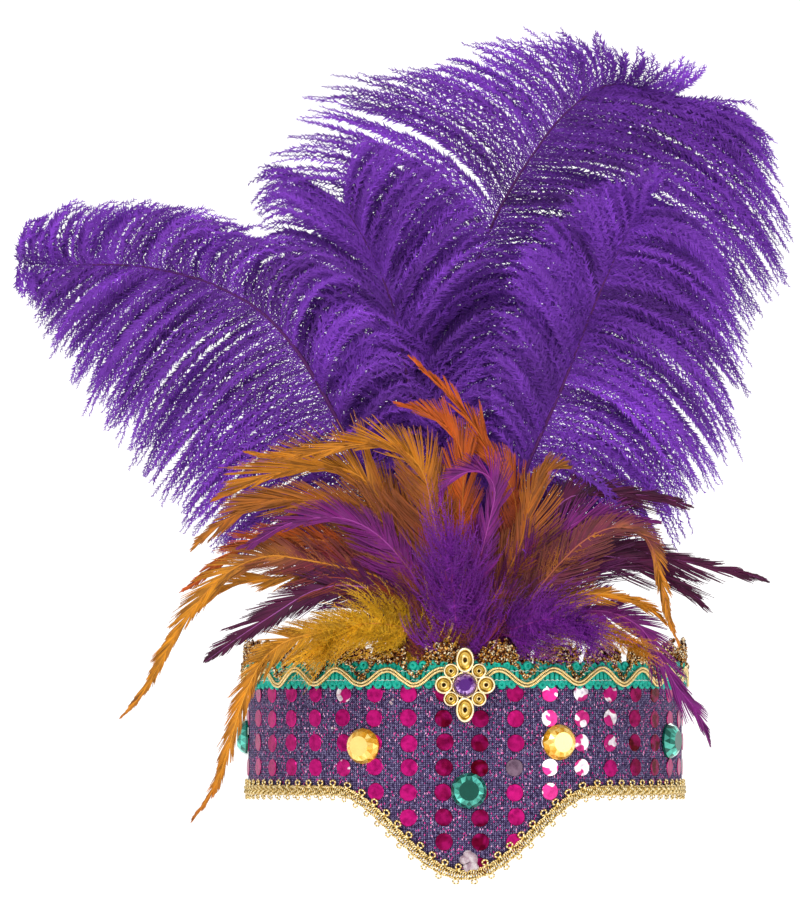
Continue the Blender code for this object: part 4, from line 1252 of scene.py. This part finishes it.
def rib_recipe():
    """An upright rounded rib on each point."""
    recipe = Recipe("gimp_ribs", Height=0.008, Width=0.002, Depth=0.001, Sides=8)
    rib = recipe.node("GeometryNodeMeshCylinder", None, {
        "Vertices": recipe.size("Sides"), "Radius": 0.5, "Depth": 1.0})
    size = recipe.vector(recipe.size("Width"), recipe.size("Depth"), recipe.size("Height"))
    return recipe.on_points(rib, size)


def bead_recipe(detail=1):
    """A small bead on each point."""
    recipe = Recipe("beads", Radius=0.0003, Detail=detail)
    bead = recipe.node("GeometryNodeMeshIcoSphere", None,
                       {0: recipe.size("Radius"), 1: recipe.size("Detail")})
    return recipe.on_points(bead, recipe.named("size"))


def cloth_finish(colour):
    """Fine knit in upright columns of stitches, with a metal fleck here and there."""
    finish = Finish("band_knit", 0.8, specular_ior_level=0.15)
    height = finish.node("ShaderNodeSeparateXYZ", None, {0: finish.place()}, out=2)
    way = finish.attribute("round")
    column = finish.sine(way * (math.tau / KNIT_WIDTH))
    stitch = finish.sine(height * (math.tau / KNIT_HEIGHT) + column * 1.4)
    cloud = finish.noise(1100.0)
    knit = column * 0.16 + stitch * 0.22 + (cloud - 0.5) * 1.5 + 0.5
    ground = finish.ramp(knit, (0.15, scaled(colour, 0.12)), (0.47, scaled(colour, 0.85)),
                         (0.74, (0.105, 0.080, 0.180)), (1.0, (0.29, 0.27, 0.42)))
    stretched = finish.vector(way * 1900.0, height * 1000.0, 0.0)
    cell = finish.cells(stretched, 1.0, out="Color")
    pick = finish.node("ShaderNodeSeparateColor", None, {0: cell}, out=0)
    other = finish.node("ShaderNodeSeparateColor", None, {0: cell}, out=1)
    inside = finish.cells(stretched, 1.0) < 0.46
    fleck = (pick > 0.83) * inside
    spark = finish.ramp(other, (0.0, (0.36, 0.006, 0.13)), (0.6, (0.66, 0.012, 0.25)),
                        (0.95, (0.80, 0.40, 0.62)))
    return finish.dress(finish.mix(fleck, ground, spark), 0.85 - fleck * 0.35,
                        (stitch + column, 0.00006, 0.6))


def foil_finish(colour):
    """Metallic foil dots: painted shade darkens each in blotches as far as its dark share says,
    and the dark of its fine wrinkles is painted shade; where it is painted pale it takes a pink
    tint and patches of white glare, painted highlight. A worn dot has lost its dye."""
    finish = Finish("sequin_foil", 0.28, 1.0)
    dark = finish.attribute("dark")
    pale = finish.attribute("pale")
    wrinkle = finish.noise(420.0, 1.0)
    patch = finish.noise(230.0, 1.0)
    # Painted shade: where the dark share says, the foil turns near black in blotches
    shade_blot = dark * finish.ramp(patch, (0.42, (1.0, 1.0, 1.0)), (0.58, (0.55, 0.55, 0.55)))
    dyed = finish.mix(shade_blot, colour, (0.10, 0.0015, 0.006))
    # Painted highlight: where the pale share says, a pink tint and patches of white glare
    dyed = finish.mix(pale * 0.15, dyed, (0.90, 0.30, 0.55))
    glare = finish.ramp(patch + pale * 0.20, (0.61, (0.0, 0.0, 0.0)), (0.66, (1.0, 1.0, 1.0)))
    dyed = finish.mix(glare * (pale > 0.02), dyed, (1.0, 0.93, 0.96))
    dyed = finish.mix(finish.attribute("worn") * 0.9, dyed, (0.16, 0.13, 0.17))
    # Painted shade in the dark of the wrinkles
    shade = finish.ramp(wrinkle, (0.3, (0.62, 0.55, 0.62)), (0.6, (1.0, 1.0, 1.0)))
    return finish.dress(finish.mix(1.0, dyed, shade, "MULTIPLY"), 0.2 + wrinkle * 0.2,
                        (wrinkle, 0.0002, 0.35))


def gimp_finish(colour):
    """Shiny teal rayon, with the fine threads of each rib."""
    finish = Finish("teal_rayon", 0.45, specular_ior_level=0.35)
    thread = finish.noise(2600.0, 1.0, (1.0, 1.0, 0.25))
    cloud = finish.noise(240.0)
    mixed = thread * 0.5 + cloud * 0.5
    dyed = finish.ramp(mixed, (0.25, scaled(colour, 0.38)), (0.5, colour),
                       (0.75, scaled(colour, 1.5)))
    return finish.dress(dyed, 0.3 + thread * 0.3, (thread, 0.0001, 0.5))


def metal_thread_finish(name, colour, twist, groove_shade):
    """Gold thread wound round a core, one turn to each twist, with painted shade between the
    turns and painted highlights on them and in glints.
    """
    finish = Finish(name, 0.32, 0.9)
    turn = finish.sine(finish.attribute("run") * (math.tau / twist)) * 0.5 + 0.5
    glint = finish.noise(1500.0, 1.0)
    depth = turn * 0.40 + glint * 0.60
    # The dark end is painted shade between the turns, the light end painted highlight
    metal = finish.ramp(depth, (0.24, scaled(colour, groove_shade)), (0.48, colour),
                        (0.70, (1.0, 0.88, 0.55)))
    return finish.dress(metal, 0.22 + glint * 0.25, (turn + glint, 0.00012, 0.6))


def lace_finish():
    """Brown and gold tinsel of the knotted lace, which glitters in specks: the near-white end is
    painted highlight on specks and knots, the near-black end painted shade between them.
    """
    finish = Finish("lace_tinsel", 0.3, 0.85)
    cell = finish.cells(finish.place(), 1500.0, out="Color")
    speck = finish.node("ShaderNodeSeparateColor", None, {0: cell}, out=0)
    depth = speck * 0.75 + finish.attribute("tone") * 0.25
    # Painted shade at the near-black end, painted highlight at the near-white end
    tinsel = finish.ramp(depth, (0.26, (0.030, 0.004, 0.004)), (0.48, (0.26, 0.070, 0.010)),
                         (0.66, (0.80, 0.40, 0.05)), (0.82, (1.0, 0.94, 0.70)))
    return finish.dress(tinsel, 0.2 + speck * 0.3, (speck, 0.0003, 0.7))


def stone_finish(name, colour, highlight_colour):
    """Foil-backed acrylic: its facets differ in painted light, from painted shade to painted
    highlight, and a clear coat gives the sharp glare.
    """
    finish = Finish(name, 0.10, 0.5, coat_weight=0.5, coat_roughness=0.02,
                    specular_ior_level=0.3)
    tone = finish.attribute("facet")
    cloud = finish.noise(300.0)
    shade = tone * 0.88 + cloud * 0.12
    middle = tuple(0.5 * (low + high) for low, high in zip(colour, highlight_colour))
    # Painted shade at the dark end of the ramp, painted highlight at its light end
    dyed = finish.ramp(shade, (0.12, scaled(colour, 0.40)), (0.45, colour), (0.75, middle),
                       (0.98, highlight_colour))
    return finish.dress(dyed, 0.06 + cloud * 0.08)


def brooch_finish():
    """Cast gilt plastic, with pale painted highlights on its rims and dark painted shade in its
    pits.
    """
    finish = Finish("brooch_gilt", 0.25, 0.85)
    cloud = finish.noise(500.0)
    # The tone is painted light: painted highlight at its top, painted shade at its bottom
    tone = finish.attribute("tone") + (cloud - 0.5) * 0.5
    gilt = finish.ramp(tone, (0.06, (0.012, 0.006, 0.002)), (0.26, (0.22, 0.11, 0.012)),
                       (0.5, (0.66, 0.42, 0.07)), (0.75, (0.88, 0.70, 0.30)),
                       (0.95, (0.98, 0.88, 0.60)))
    return finish.dress(gilt, 0.18 + cloud * 0.2, (cloud, 0.0002, 0.4))


def sequin_points(settings):
    """Places of the dots: columns round the band, rows down it, and none off its edge."""
    rng = np.random.default_rng(11)
    arcs, heights, dark, pale, worn = [], [], [], [], []
    for number in range(SEQUIN_COLUMNS):
        angle = math.remainder(FRONT_WAY + (number - FRONT_COLUMN) * settings.sequin_column,
                               math.tau)
        column_light = COLUMN_PAINTED_LIGHT[number] if number < len(COLUMN_PAINTED_LIGHT) else (0.25, 0.0)
        for row in range(SEQUIN_ROWS):
            height = SEQUIN_TOP - row * settings.sequin_row + rng.normal(0.0, 0.0002)
            if height < hem_height(angle) + 0.2 * settings.sequin_diameter:
                continue
            arcs.append(angle * BAND_RADIUS + rng.normal(0.0, 0.0002))
            heights.append(height)
            # The dark share is painted shade and the pale share painted highlight, column by
            # column with a little random spread
            dark.append(np.clip(column_light[0] + rng.normal(0.0, 0.10) * (column_light[0] > 0), 0, 1))
            pale.append(np.clip(column_light[1] + rng.normal(0.0, 0.15) * (column_light[1] > 0), 0, 1))
            worn.append(float((number, row) == WORN_DOT))
    turns = facing(arcs)
    turns[:, 0] += rng.normal(0.0, 0.025, len(arcs))
    turns[:, 2] += rng.normal(0.0, 0.025, len(arcs))
    spots = wrapped(np.array(arcs), np.array(heights), FOIL)
    return point_mesh("sequin_places", spots, turns, dark=dark, pale=pale, worn=worn)


class HEADDRESS_OT_band(bpy.types.Operator):
    """Makes the cloth band and sews its foil dots on"""
    bl_idname = "headdress.band"
    bl_label = "Band and sequins"

    def execute(self, context):
        settings = context.scene.headdress_crown
        cloth = cloth_finish(tuple(settings.cloth_colour))
        start = bpy.data.meshes.new("band_sheet")
        band = grown("band_cloth", start, band_recipe(), cloth, Radius=BAND_RADIUS,
                     Top=BAND_TOP, Drop=POINT_DROP, Spread=POINT_SPREAD, Columns=361)
        wall = band.modifiers.new("wall", "SOLIDIFY")
        wall.thickness = BAND_WALL
        wall.offset = -1.0
        settled(band)
        hand_over(band, "band_cloth", "crown_band")
        foil = foil_finish(tuple(settings.sequin_colour))
        sequins = grown("band_sequins", sequin_points(settings), disc_recipe(), foil,
                        Diameter=settings.sequin_diameter, Thickness=FOIL)
        hand_over(sequins, "band_cloth")
        return {"FINISHED"}


def sew_gimp(loops, proud):
    """White thread that shows where it passes over the ribs."""
    steps = loops * 8
    arcs = ring_arcs(steps)
    beat = np.cos(np.arange(steps) * 0.5 * math.pi)
    lines = []
    for level in STITCH_LEVELS:
        lines.append(wrapped(arcs, level + 0.00025 * beat, proud + 0.00058 + 0.0003 * beat))
    finish = Finish("stitch_thread", 0.5)
    grain = finish.noise(900.0)
    white = finish.dress(finish.ramp(grain, (0.3, (0.50, 0.72, 0.66)),
                                     (0.6, (0.92, 0.95, 0.90))))
    ring = wire_mesh("stitch_line", lines, closed=True, thick=np.ones(2))
    thread = grown("gimp_stitches", ring, strand_recipe(3), white,
                   Radius=STITCH_THREAD)
    hand_over(thread, "teal_gimp")


class HEADDRESS_OT_gimp(bpy.types.Operator):
    """Makes the teal gimp with its ribs, loops and white stitches"""
    bl_idname = "headdress.gimp"
    bl_label = "Teal gimp"

    def execute(self, context):
        settings = context.scene.headdress_crown
        teal = gimp_finish(tuple(settings.teal_colour))
        rng = np.random.default_rng(12)
        proud = GIMP_RADIUS - BAND_RADIUS - 0.0005
        loops = int(round(math.tau * GIMP_RADIUS / settings.loop_pitch))
        ring = ring_arcs(2 * loops)
        height = GIMP_HIGH.z - GIMP_LOW.z
        turns = facing(ring)
        turns[:, 0] = 0.0
        turns[:, 1] = rng.normal(0.0, 0.05, len(ring))
        ribs = point_mesh("rib_places", wrapped(ring, GIMP_MIDDLE, proud), turns)
        parts = [grown("gimp_ribs", ribs, rib_recipe(), teal, Height=0.72 * height,
                       Width=0.90 * settings.loop_pitch / 2.0, Depth=RIB_DEPTH)]
        ring = ring_arcs(loops)
        for level, shift in zip(LOOP_LEVELS, (0.0, 0.5)):
            arcs = ring + shift * settings.loop_pitch + rng.normal(0.0, 0.0001, loops)
            turns = facing(arcs)
            turns[:, 2] += rng.normal(0.0, 0.12, loops)
            spots = wrapped(arcs, level + rng.normal(0.0, 0.0002, loops), proud + 0.0002)
            sizes = rng.uniform(0.92, 1.06, loops)
            places = point_mesh("loop_places", spots, turns, size=sizes)
            parts.append(grown("gimp_loops", places, ring_recipe(9, 4), teal,
                               Radius=LOOP_RADIUS, Wire=LOOP_WIRE))
        gimp = joined("gimp_braid", parts)
        hand_over(gimp, "teal_gimp", "top_gimp")
        sew_gimp(loops, proud)
        return {"FINISHED"}


def fan_height(across, lobes):
    """Height of a lace fan's lobed edge at a share of its half width."""
    height = (0.42 + 0.58 * math.sqrt(max(0.0, 1.0 - across * across)))
    height *= lobes[int((across + 1.0) * 2.499)]
    return min(1.0, height * (0.90 + 0.10 * math.cos(across * 5.0 * math.pi)))


def glue_lumps():
    """Dried glue: a lump over the braid at the point, and small ones on the cloth."""
    rng = np.random.default_rng(16)
    glue = Finish("dried_glue", 0.18, transmission_weight=0.3, ior=1.3)
    cloud = glue.noise(420.0)
    clear = glue.dress(glue.ramp(cloud, (0.35, (0.42, 0.28, 0.34)),
                                 (0.6, (0.72, 0.62, 0.64))), bump=(cloud, 0.0004, 0.5))
    arcs, heights, sizes = [], [], []
    for arc, height, spread, size, count in GLUE:
        arcs.append(arc + rng.normal(0.0, 0.45 * spread, count))
        heights.append(height + rng.normal(0.0, 0.55 * spread, count))
        sizes.append(size * rng.uniform(0.7, 1.15, count))
    arcs, heights = np.concatenate(arcs), np.concatenate(heights)
    proud = np.where(heights < 0.0, BRAID_RADIUS - BAND_RADIUS - 0.0014, 0.0001)
    places = point_mesh("glue_places", wrapped(arcs, heights, proud), facing(arcs),
                        size=np.concatenate(sizes))
    lumps = grown("glue_lumps", places, bead_recipe(3), clear, Radius=GLUE_LUMP)
    hand_over(lumps, "gold_cord")


def lace_net(fans, base, rise, finish):
    """The close net behind each fan's knots, as a thin lobed plate; its tone of nought keeps it
    in the darker tinsel, painted shade in the gaps between the knots.
    """
    mesh = bmesh.new()
    for crest, half, lobes in fans:
        across = np.linspace(-1.0, 1.0, NET_STEPS + 1)
        tops = [base + rise * 0.93 * fan_height(share, lobes) for share in across]
        arcs = crest + across * half * 0.96
        rings = []
        foot = base - NET_FOOT
        for levels, proud in ((foot, 0.0001), (tops, 0.0001), (tops, 0.0007), (foot, 0.0007)):
            spots = wrapped(arcs, np.array(levels), proud)
            rings.append([mesh.verts.new(spot) for spot in spots])
        for ring, ahead in zip(rings, rings[1:] + rings[:1]):
            for step in range(NET_STEPS):
                mesh.faces.new((ring[step], ring[step + 1], ahead[step + 1], ahead[step]))
        mesh.faces.new([ring[0] for ring in rings])
        mesh.faces.new([ring[-1] for ring in rings][::-1])
    # Tone nought: the net takes the darker tinsel, painted shade between the knots
    data = mesh_from("lace_net", mesh, "tone", np.zeros(len(mesh.verts)))
    return placed("lace_net", data, finish, Matrix.Identity(4))


def wave_cords(finish):
    """Two cords side by side, in waves round the gimp."""
    arcs = ring_arcs(WAVES * 24)
    beat = WAVES * (arcs / BAND_RADIUS - WAVE_PHASE)
    height = GIMP_MIDDLE - 0.0006 - WAVE_SWING * np.cos(beat)
    slope = WAVE_SWING * WAVES / BAND_RADIUS * np.sin(beat)
    across = 1.0 / np.sqrt(1.0 + slope ** 2)
    proud = 0.5 * (GIMP_RADIUS + CORD_RADIUS) - BAND_RADIUS
    rng = np.random.default_rng(13)
    sway = np.convolve(rng.normal(0.0, 0.0012, len(arcs)), np.ones(24) / 24.0, "same")
    lines = []
    for side in (-CORD_SIDE, CORD_SIDE):
        lines.append(wrapped(arcs - side * slope * across, height + side * across + sway, proud))
    runs = np.arange(len(arcs)) * CORD_RUN + np.zeros((2, 1))
    ring = wire_mesh("cord_lines", lines, closed=True, thick=np.ones(2), run=runs)
    cords = grown("wave_cords", ring, strand_recipe(7), finish, Radius=CORD_STRAND)
    hand_over(cords, "gold_cord", "wave_cord")


def lace_fans(finish):
    """A fan of small knots over each crest of the cord, with two arms down to the trough."""
    rng = np.random.default_rng(14)
    arcs, heights, prouds = [], [], []
    base = GIMP_HIGH.z - 0.0010
    rise = LACE_TOP - GIMP_HIGH.z + 0.0006
    wave = math.tau * BAND_RADIUS / WAVES
    fans = []
    for number in range(WAVES):
        crest = (WAVE_PHASE + (number + 0.5) * math.tau / WAVES) * BAND_RADIUS
        half = wave * rng.uniform(0.31, 0.38)
        lobes = rng.uniform(0.88, 1.12, 5)
        fans.append((crest, half, lobes))
        laid = 0
        while laid < FAN_KNOTS:
            across = rng.uniform(-1.0, 1.0)
            up = rng.uniform(0.0, 1.0)
            if up > fan_height(across, lobes):
                continue
            arcs.append(crest + across * half)
            heights.append(base + up * rise)
            prouds.append(rng.uniform(0.0007, 0.0017))
            laid += 1
        for side in (-1.0, 1.0):
            for step in range(ARM_KNOTS):
                share = (step + rng.uniform(0.2, 0.8)) / ARM_KNOTS
                arcs.append(crest + side * (half * 0.72 + (0.5 * wave - half * 0.72) * share))
                heights.append(base + 0.0006 - share * ARM_DROP + rng.normal(0.0, 0.0005))
                prouds.append(0.0020 + rng.uniform(0.0, 0.0006))
    count = len(arcs)
    turns = facing(arcs) + rng.normal(0.0, 0.75, (count, 3))
    spots = wrapped(np.array(arcs), np.array(heights), np.array(prouds))
    # A knot's tone moves it between painted shade and the painted highlight of the glitter
    places = point_mesh("knot_places", spots, turns, size=rng.uniform(0.7, 1.2, count),
                        tone=rng.uniform(0.0, 1.0, count))
    knots = grown("lace_knots", places, ring_recipe(5, 3), finish, Radius=KNOT_RADIUS,
                  Wire=KNOT_WIRE)
    lace = joined("lace_knots", [knots, lace_net(fans, base, rise, finish)])
    hand_over(lace, "gold_lace", "lace_fans")


def hem_braid(settings, finish):
    """A flat plait along the lower edge, with loops of wire on both its sides."""
    arcs = np.linspace(-math.pi, math.pi, 8000) * BAND_RADIUS
    hem = np.stack([arcs, hem_height(arcs / BAND_RADIUS), np.zeros_like(arcs)], axis=1)
    total = line_length(hem)

    def laid(along, up, proud):
        """Points by their way along the hem, above it and proud of the cloth."""
        shares = np.mod(along, total) / total
        place = at_shares(hem, shares)
        ahead = heading_at(hem, shares, 0.0005)
        return wrapped(place[:, 0] - up * ahead[:, 1], place[:, 1] + up * ahead[:, 0], proud)

    parts = []
    half = 0.5 * BRAID_WIDTH
    outer = BRAID_RADIUS - BAND_RADIUS
    picots = int(round(total / settings.picot_pitch))

    def cord(name, along, up, proud, radius, sides):
        """A closed wire laid along the hem."""
        lines = laid(along, up, proud)[None]
        run = (np.arange(len(along)) * total / len(along))[None]
        mesh = wire_mesh(name, lines, closed=True, thick=np.ones(1), run=run)
        parts.append(grown(name, mesh, strand_recipe(sides), finish, Radius=radius))

    turns = 2 * picots
    along = np.arange(turns * 8) * total / (turns * 8)
    beat = np.arange(turns * 8) / 8.0 * math.tau
    for phase in (0.0, math.tau / 3.0, 2.0 * math.tau / 3.0):
        cord("braid_strand", along, 0.76 * half * np.sin(beat + phase),
             0.6 * outer + PLAIT_WEAVE * np.sin(2.0 * (beat + phase)), PLAIT_STRAND, 3)
    along = np.arange(picots * 8) * total / (picots * 8)
    ripple = 0.00018 * np.cos(np.arange(picots * 8) * 0.5 * math.pi)
    for edge, wire in BRAID_EDGES:
        cord("braid_edge", along, edge * half + ripple, 0.5 * outer, wire, 4)
    loop = np.arange(picots * 16) / 16.0 * math.tau
    for side, swing, high, wire in PICOTS:
        along = loop / math.tau * total / picots + swing * np.sin(loop)
        up = side * (half * 0.9 + high * 0.62 - high * np.cos(loop))
        cord("braid_picot", along, up, 0.0010, wire, 4)
    braid = joined("picot_braid", parts)
    hand_over(braid, "gold_cord", "hem_braid")


class HEADDRESS_OT_gold(bpy.types.Operator):
    """Lays the doubled wave cord, the knotted lace fans and the picot braid"""
    bl_idname = "headdress.gold"
    bl_label = "Gold trims"

    def execute(self, context):
        settings = context.scene.headdress_crown
        gold = tuple(settings.gold_colour)
        wave_cords(metal_thread_finish("cord_gold", gold, 0.0007, 0.5))
        lace_fans(lace_finish())
        hem_braid(settings, metal_thread_finish("braid_gold", gold, 0.0009, 0.2))
        glue_lumps()
        return {"FINISHED"}


def stone_mesh(name, diameter, height, rng, table, sides=16):
    """A flat-backed stone: girdle, two rows of facets, and its table."""
    mesh = bmesh.new()
    rows = ((1.0, 0.0, 0.0), (1.0, 0.20, 0.0), (0.83, 0.66, 0.5), (0.56, 0.98, 0.0))
    rings = []
    for share, rise, turn in rows:
        ring = []
        for side in range(sides):
            angle = math.tau * (side + turn) / sides
            ring.append(mesh.verts.new((0.5 * diameter * share * math.cos(angle),
                                        0.5 * diameter * share * math.sin(angle),
                                        height * rise)))
        rings.append(ring)
    # Each face's tone is painted light, from painted shade to painted highlight: fixed for the
    # girdle, the back and the table, at random for the facets
    tones = []

    def face(corners, tone):
        mesh.faces.new(corners)
        tones.append(tone)

    for side in range(sides):
        after = (side + 1) % sides
        face((rings[0][side], rings[0][after], rings[1][after], rings[1][side]), 0.45)
        face((rings[1][side], rings[1][after], rings[2][side]), rng.uniform(0.25, 0.7))
        face((rings[1][after], rings[2][after], rings[2][side]), rng.uniform(0.2, 0.9))
        face((rings[2][side], rings[2][after], rings[3][after]), rng.uniform(0.3, 1.0))
        face((rings[2][side], rings[3][after], rings[3][side]), rng.uniform(0.3, 1.0))
    face(list(reversed(rings[0])), 0.2)
    face(rings[3], table)
    return mesh_from(name, mesh, "facet", tones, "FACE")


def lathe_mesh(name, profile, sides, length, width, tall):
    """A closed shape turned from a profile of shares and tones, stretched to an oval."""
    mesh = bmesh.new()
    rings = []
    for share, rise, tone in profile:
        rings.append([mesh.verts.new((0.5 * width * share * math.cos(math.tau * k / sides),
                                      0.5 * length * share * math.sin(math.tau * k / sides),
                                      rise * tall)) for k in range(sides)])
    for ring, ahead in zip(rings, rings[1:]):
        for k in range(sides):
            after = (k + 1) % sides
            mesh.faces.new((ring[k], ring[after], ahead[after], ahead[k]))
    mesh.faces.new(rings[-1])
    mesh.faces.new(list(reversed(rings[0])))
    tones = np.repeat([tone for share, rise, tone in profile], sides)
    data = mesh_from(name, mesh, "tone", tones)
    data.shade_smooth()
    return data


def placed(name, mesh, finish, place):
    """An object with its place and turn worked into its mesh."""
    mesh.transform(place)
    mesh.materials.clear()
    mesh.materials.append(finish)
    return linked(name, mesh)


def outward(angle, radius, level):
    """The place of something that lies flat on the band and faces out."""
    turn = Matrix.Rotation(angle, 4, "Z") @ Matrix.Rotation(0.5 * math.pi, 4, "X")
    spot = Vector((radius * math.sin(angle), -radius * math.cos(angle), level))
    return Matrix.Translation(spot) @ turn


def make_brooch(amethyst, rng):
    low, high = corners("brooch_setting")
    level = 0.5 * (low.z + high.z)
    back = -high.y
    gilt = brooch_finish()
    stone_low, stone_high = corners("brooch_stone")
    girdle = stone_high.z - stone_low.z
    bezel = 0.5 * girdle + 0.0003
    tall = high.y - low.y
    parts = []
    for degrees, length, width in CUPS:
        turn = math.radians(degrees)
        away = 0.5 * girdle + 0.0006 + 0.5 * length
        mesh = lathe_mesh("brooch_cup", CUP_PROFILE, 28, length * 1.08, width * 1.08, tall)
        place = outward(0.0, back, level) @ Matrix.Translation(
            (away * math.sin(turn), away * math.cos(turn), 0.0)) @ Matrix.Rotation(
            -turn, 4, "Z")
        parts.append(placed("brooch_cup", mesh, gilt, place))
    across = 2.0 * bezel + 0.0016
    mesh = lathe_mesh("brooch_seat", SEAT_PROFILE, 40, across, across, tall)
    parts.append(placed("brooch_seat", mesh, gilt, outward(0.0, back, level)))
    count = BEZEL_BEADS
    turns = math.tau * np.arange(count) / count
    spots = np.stack([(bezel + 0.0002) * np.sin(turns), np.full(count, -back - 0.66 * tall),
                      level + (bezel + 0.0002) * np.cos(turns)], axis=1)
    # Tone one gives the beads the pale painted highlight of the gilt
    places = point_mesh("bezel_places", spots, np.zeros((count, 3)), size=np.ones(count),
                        tone=np.ones(count))
    parts.append(grown("bezel_beads", places, bead_recipe(), gilt, Radius=BEZEL_BEAD))
    brooch = joined("brooch_cast", parts)
    hand_over(brooch, "brooch_gold", "brooch_setting")
    mesh = stone_mesh("brooch_stone_cut", girdle, BROOCH_STONE_HEIGHT, rng, TABLE_PAINTED_LIGHT["amethyst"])
    stone = placed("brooch_stone_cut", mesh, amethyst,
                   outward(0.0, -stone_high.y, level))
    hand_over(stone, "amethyst", "brooch_stone")


class HEADDRESS_OT_stones(bpy.types.Operator):
    """Sets the five stones and the brooch"""
    bl_idname = "headdress.stones"
    bl_label = "Stones and brooch"

    def execute(self, context):
        finishes = {kind: stone_finish(kind + "_acrylic", *dyes)
                    for kind, dyes in STONES.items()}
        rng = np.random.default_rng(15)
        for name, kind, degrees in GEMS:
            low, high = corners(name)
            mesh = stone_mesh(name + "_cut", high.z - low.z, GEM_HEIGHT, rng, TABLE_PAINTED_LIGHT[kind])
            place = outward(math.radians(degrees), BAND_RADIUS + CLEARANCE,
                            0.5 * (low.z + high.z))
            gem = placed(name + "_cut", mesh, finishes[kind], place)
            hand_over(gem, kind, name)
        make_brooch(finishes["amethyst"], rng)
        return {"FINISHED"}


# Lights: name, place, width and height, power
LIGHTS = (("key_light", (-1.1, -2.2, 1.6), (1.2, 1.2), 42.0),
          ("fill_light", (1.8, -1.8, 0.6), (1.4, 1.4), 16.0),
          ("rim_light", (0.5, 1.8, 1.6), (1.6, 0.8), 20.0))


def lit_area(name, place, aim, size, power):
    """A soft rectangular light that faces a point."""
    light = bpy.data.lights.new(name, "AREA")
    light.shape = "RECTANGLE"
    light.size, light.size_y = size
    light.energy = power
    lamp = linked(name, light)
    lamp.location = place
    lamp.rotation_euler = (Vector(aim) - Vector(place)).to_track_quat("-Z", "Y").to_euler()


def photo_point(px, py, depth):
    """Where a pixel of the photograph lies at the depth of the crown's front."""
    return Vector(((px - PHOTO_MIDDLE) * PHOTO_SCALE, depth, (PHOTO_LEVEL - py) * PHOTO_SCALE))


def make_sweep(drop):
    """The studio's pale floor, which curves up into its back wall."""
    floor = -drop
    profile = [(-9.0, 0.0), (4.0, 0.0)]
    for step in range(1, 17):
        turn = 0.5 * math.pi * step / 16
        profile.append((4.0 + 3.0 * math.sin(turn), 3.0 * (1.0 - math.cos(turn))))
    profile.append((7.0, 9.0))
    points = [(side * 12.0, y, floor + z) for y, z in profile for side in (-1.0, 1.0)]
    faces = [(2 * i, 2 * i + 1, 2 * i + 3, 2 * i + 2) for i in range(len(profile) - 1)]
    mesh = bpy.data.meshes.new("studio_sweep")
    mesh.from_pydata(points, [], faces)
    mesh.shade_smooth()
    sweep = linked("studio_sweep", mesh)
    finish = Finish("studio_white", 0.9, emission_strength=0.34)
    finish.shader.inputs["Emission Color"].default_value = (1.0, 1.0, 1.0, 1.0)
    grain = finish.noise(3.0)
    mesh.materials.append(finish.dress(finish.ramp(grain, (0.0, (0.90, 0.90, 0.90)),
                                                   (1.0, (0.93, 0.93, 0.93)))))


class HEADDRESS_OT_stage(bpy.types.Operator):
    """Sets the pale floor, the soft lights and the camera at the photograph's angle"""
    bl_idname = "headdress.stage"
    bl_label = "Studio"

    def execute(self, context):
        settings = context.scene.headdress_stage
        make_sweep(settings.floor_drop)
        front = -0.5 * GIMP_RADIUS
        world = bpy.data.worlds.new("studio_air")
        world.use_nodes = True
        air = world.node_tree.nodes["Background"]
        air.inputs["Color"].default_value = (1.0, 1.0, 1.0, 1.0)
        air.inputs["Strength"].default_value = 0.70
        context.scene.world = world
        context.scene.view_settings.view_transform = "Standard"
        middle = (0.0, 0.0, 0.12)
        for name, place, size, power in LIGHTS:
            lit_area(name, place, middle, size, power)
        camera = linked("photo_camera", bpy.data.cameras.new("photo_camera"))
        width, height = PHOTO_SIZE
        camera.location = (0.0, -settings.camera_distance, settings.camera_height)
        aim = photo_point(0.5 * width, 0.5 * height, front)
        look = aim - camera.location
        camera.rotation_euler = look.to_track_quat("-Z", "Y").to_euler()
        view = width * PHOTO_SCALE
        camera.data.sensor_fit = "VERTICAL"
        camera.data.sensor_height = 24.0
        camera.data.lens = 24.0 * look.length / (view * height / width)
        camera.data.clip_end = 60.0
        context.scene.camera = camera
        return {"FINISHED"}


class HEADDRESS_PT_panel(bpy.types.Panel):
    """Lists the steps that dress the frame"""
    bl_label = "Feather headdress"
    bl_idname = "HEADDRESS_PT_panel"
    bl_space_type = "VIEW_3D"
    bl_region_type = "UI"
    bl_category = "Headdress"

    def draw(self, context):
        for group in SETTINGS:
            settings = getattr(context.scene, group)
            box = self.layout.box()
            for key in settings.__annotations__:
                box.prop(settings, key)
        for step in STEPS:
            self.layout.operator(step.bl_idname)


SETTINGS = {"headdress_crown": CrownSettings, "headdress_crest": CrestSettings,
            "headdress_stage": StageSettings}
STEPS = (HEADDRESS_OT_stage, HEADDRESS_OT_band, HEADDRESS_OT_gimp, HEADDRESS_OT_gold,
         HEADDRESS_OT_stones, HEADDRESS_OT_plumes, HEADDRESS_OT_hackles, HEADDRESS_OT_tufts)
CLASSES = (*SETTINGS.values(), *STEPS, HEADDRESS_PT_panel)


def register():
    for kind in CLASSES:
        bpy.utils.register_class(kind)
    for group, kind in SETTINGS.items():
        setattr(bpy.types.Scene, group, bpy.props.PointerProperty(type=kind))


def unregister():
    for group in SETTINGS:
        delattr(bpy.types.Scene, group)
    for kind in reversed(CLASSES):
        bpy.utils.unregister_class(kind)


def main():
    register()
    for step in STEPS:
        group, name = step.bl_idname.split(".")
        getattr(getattr(bpy.ops, group), name)()


if __name__ == "__main__":
    main()
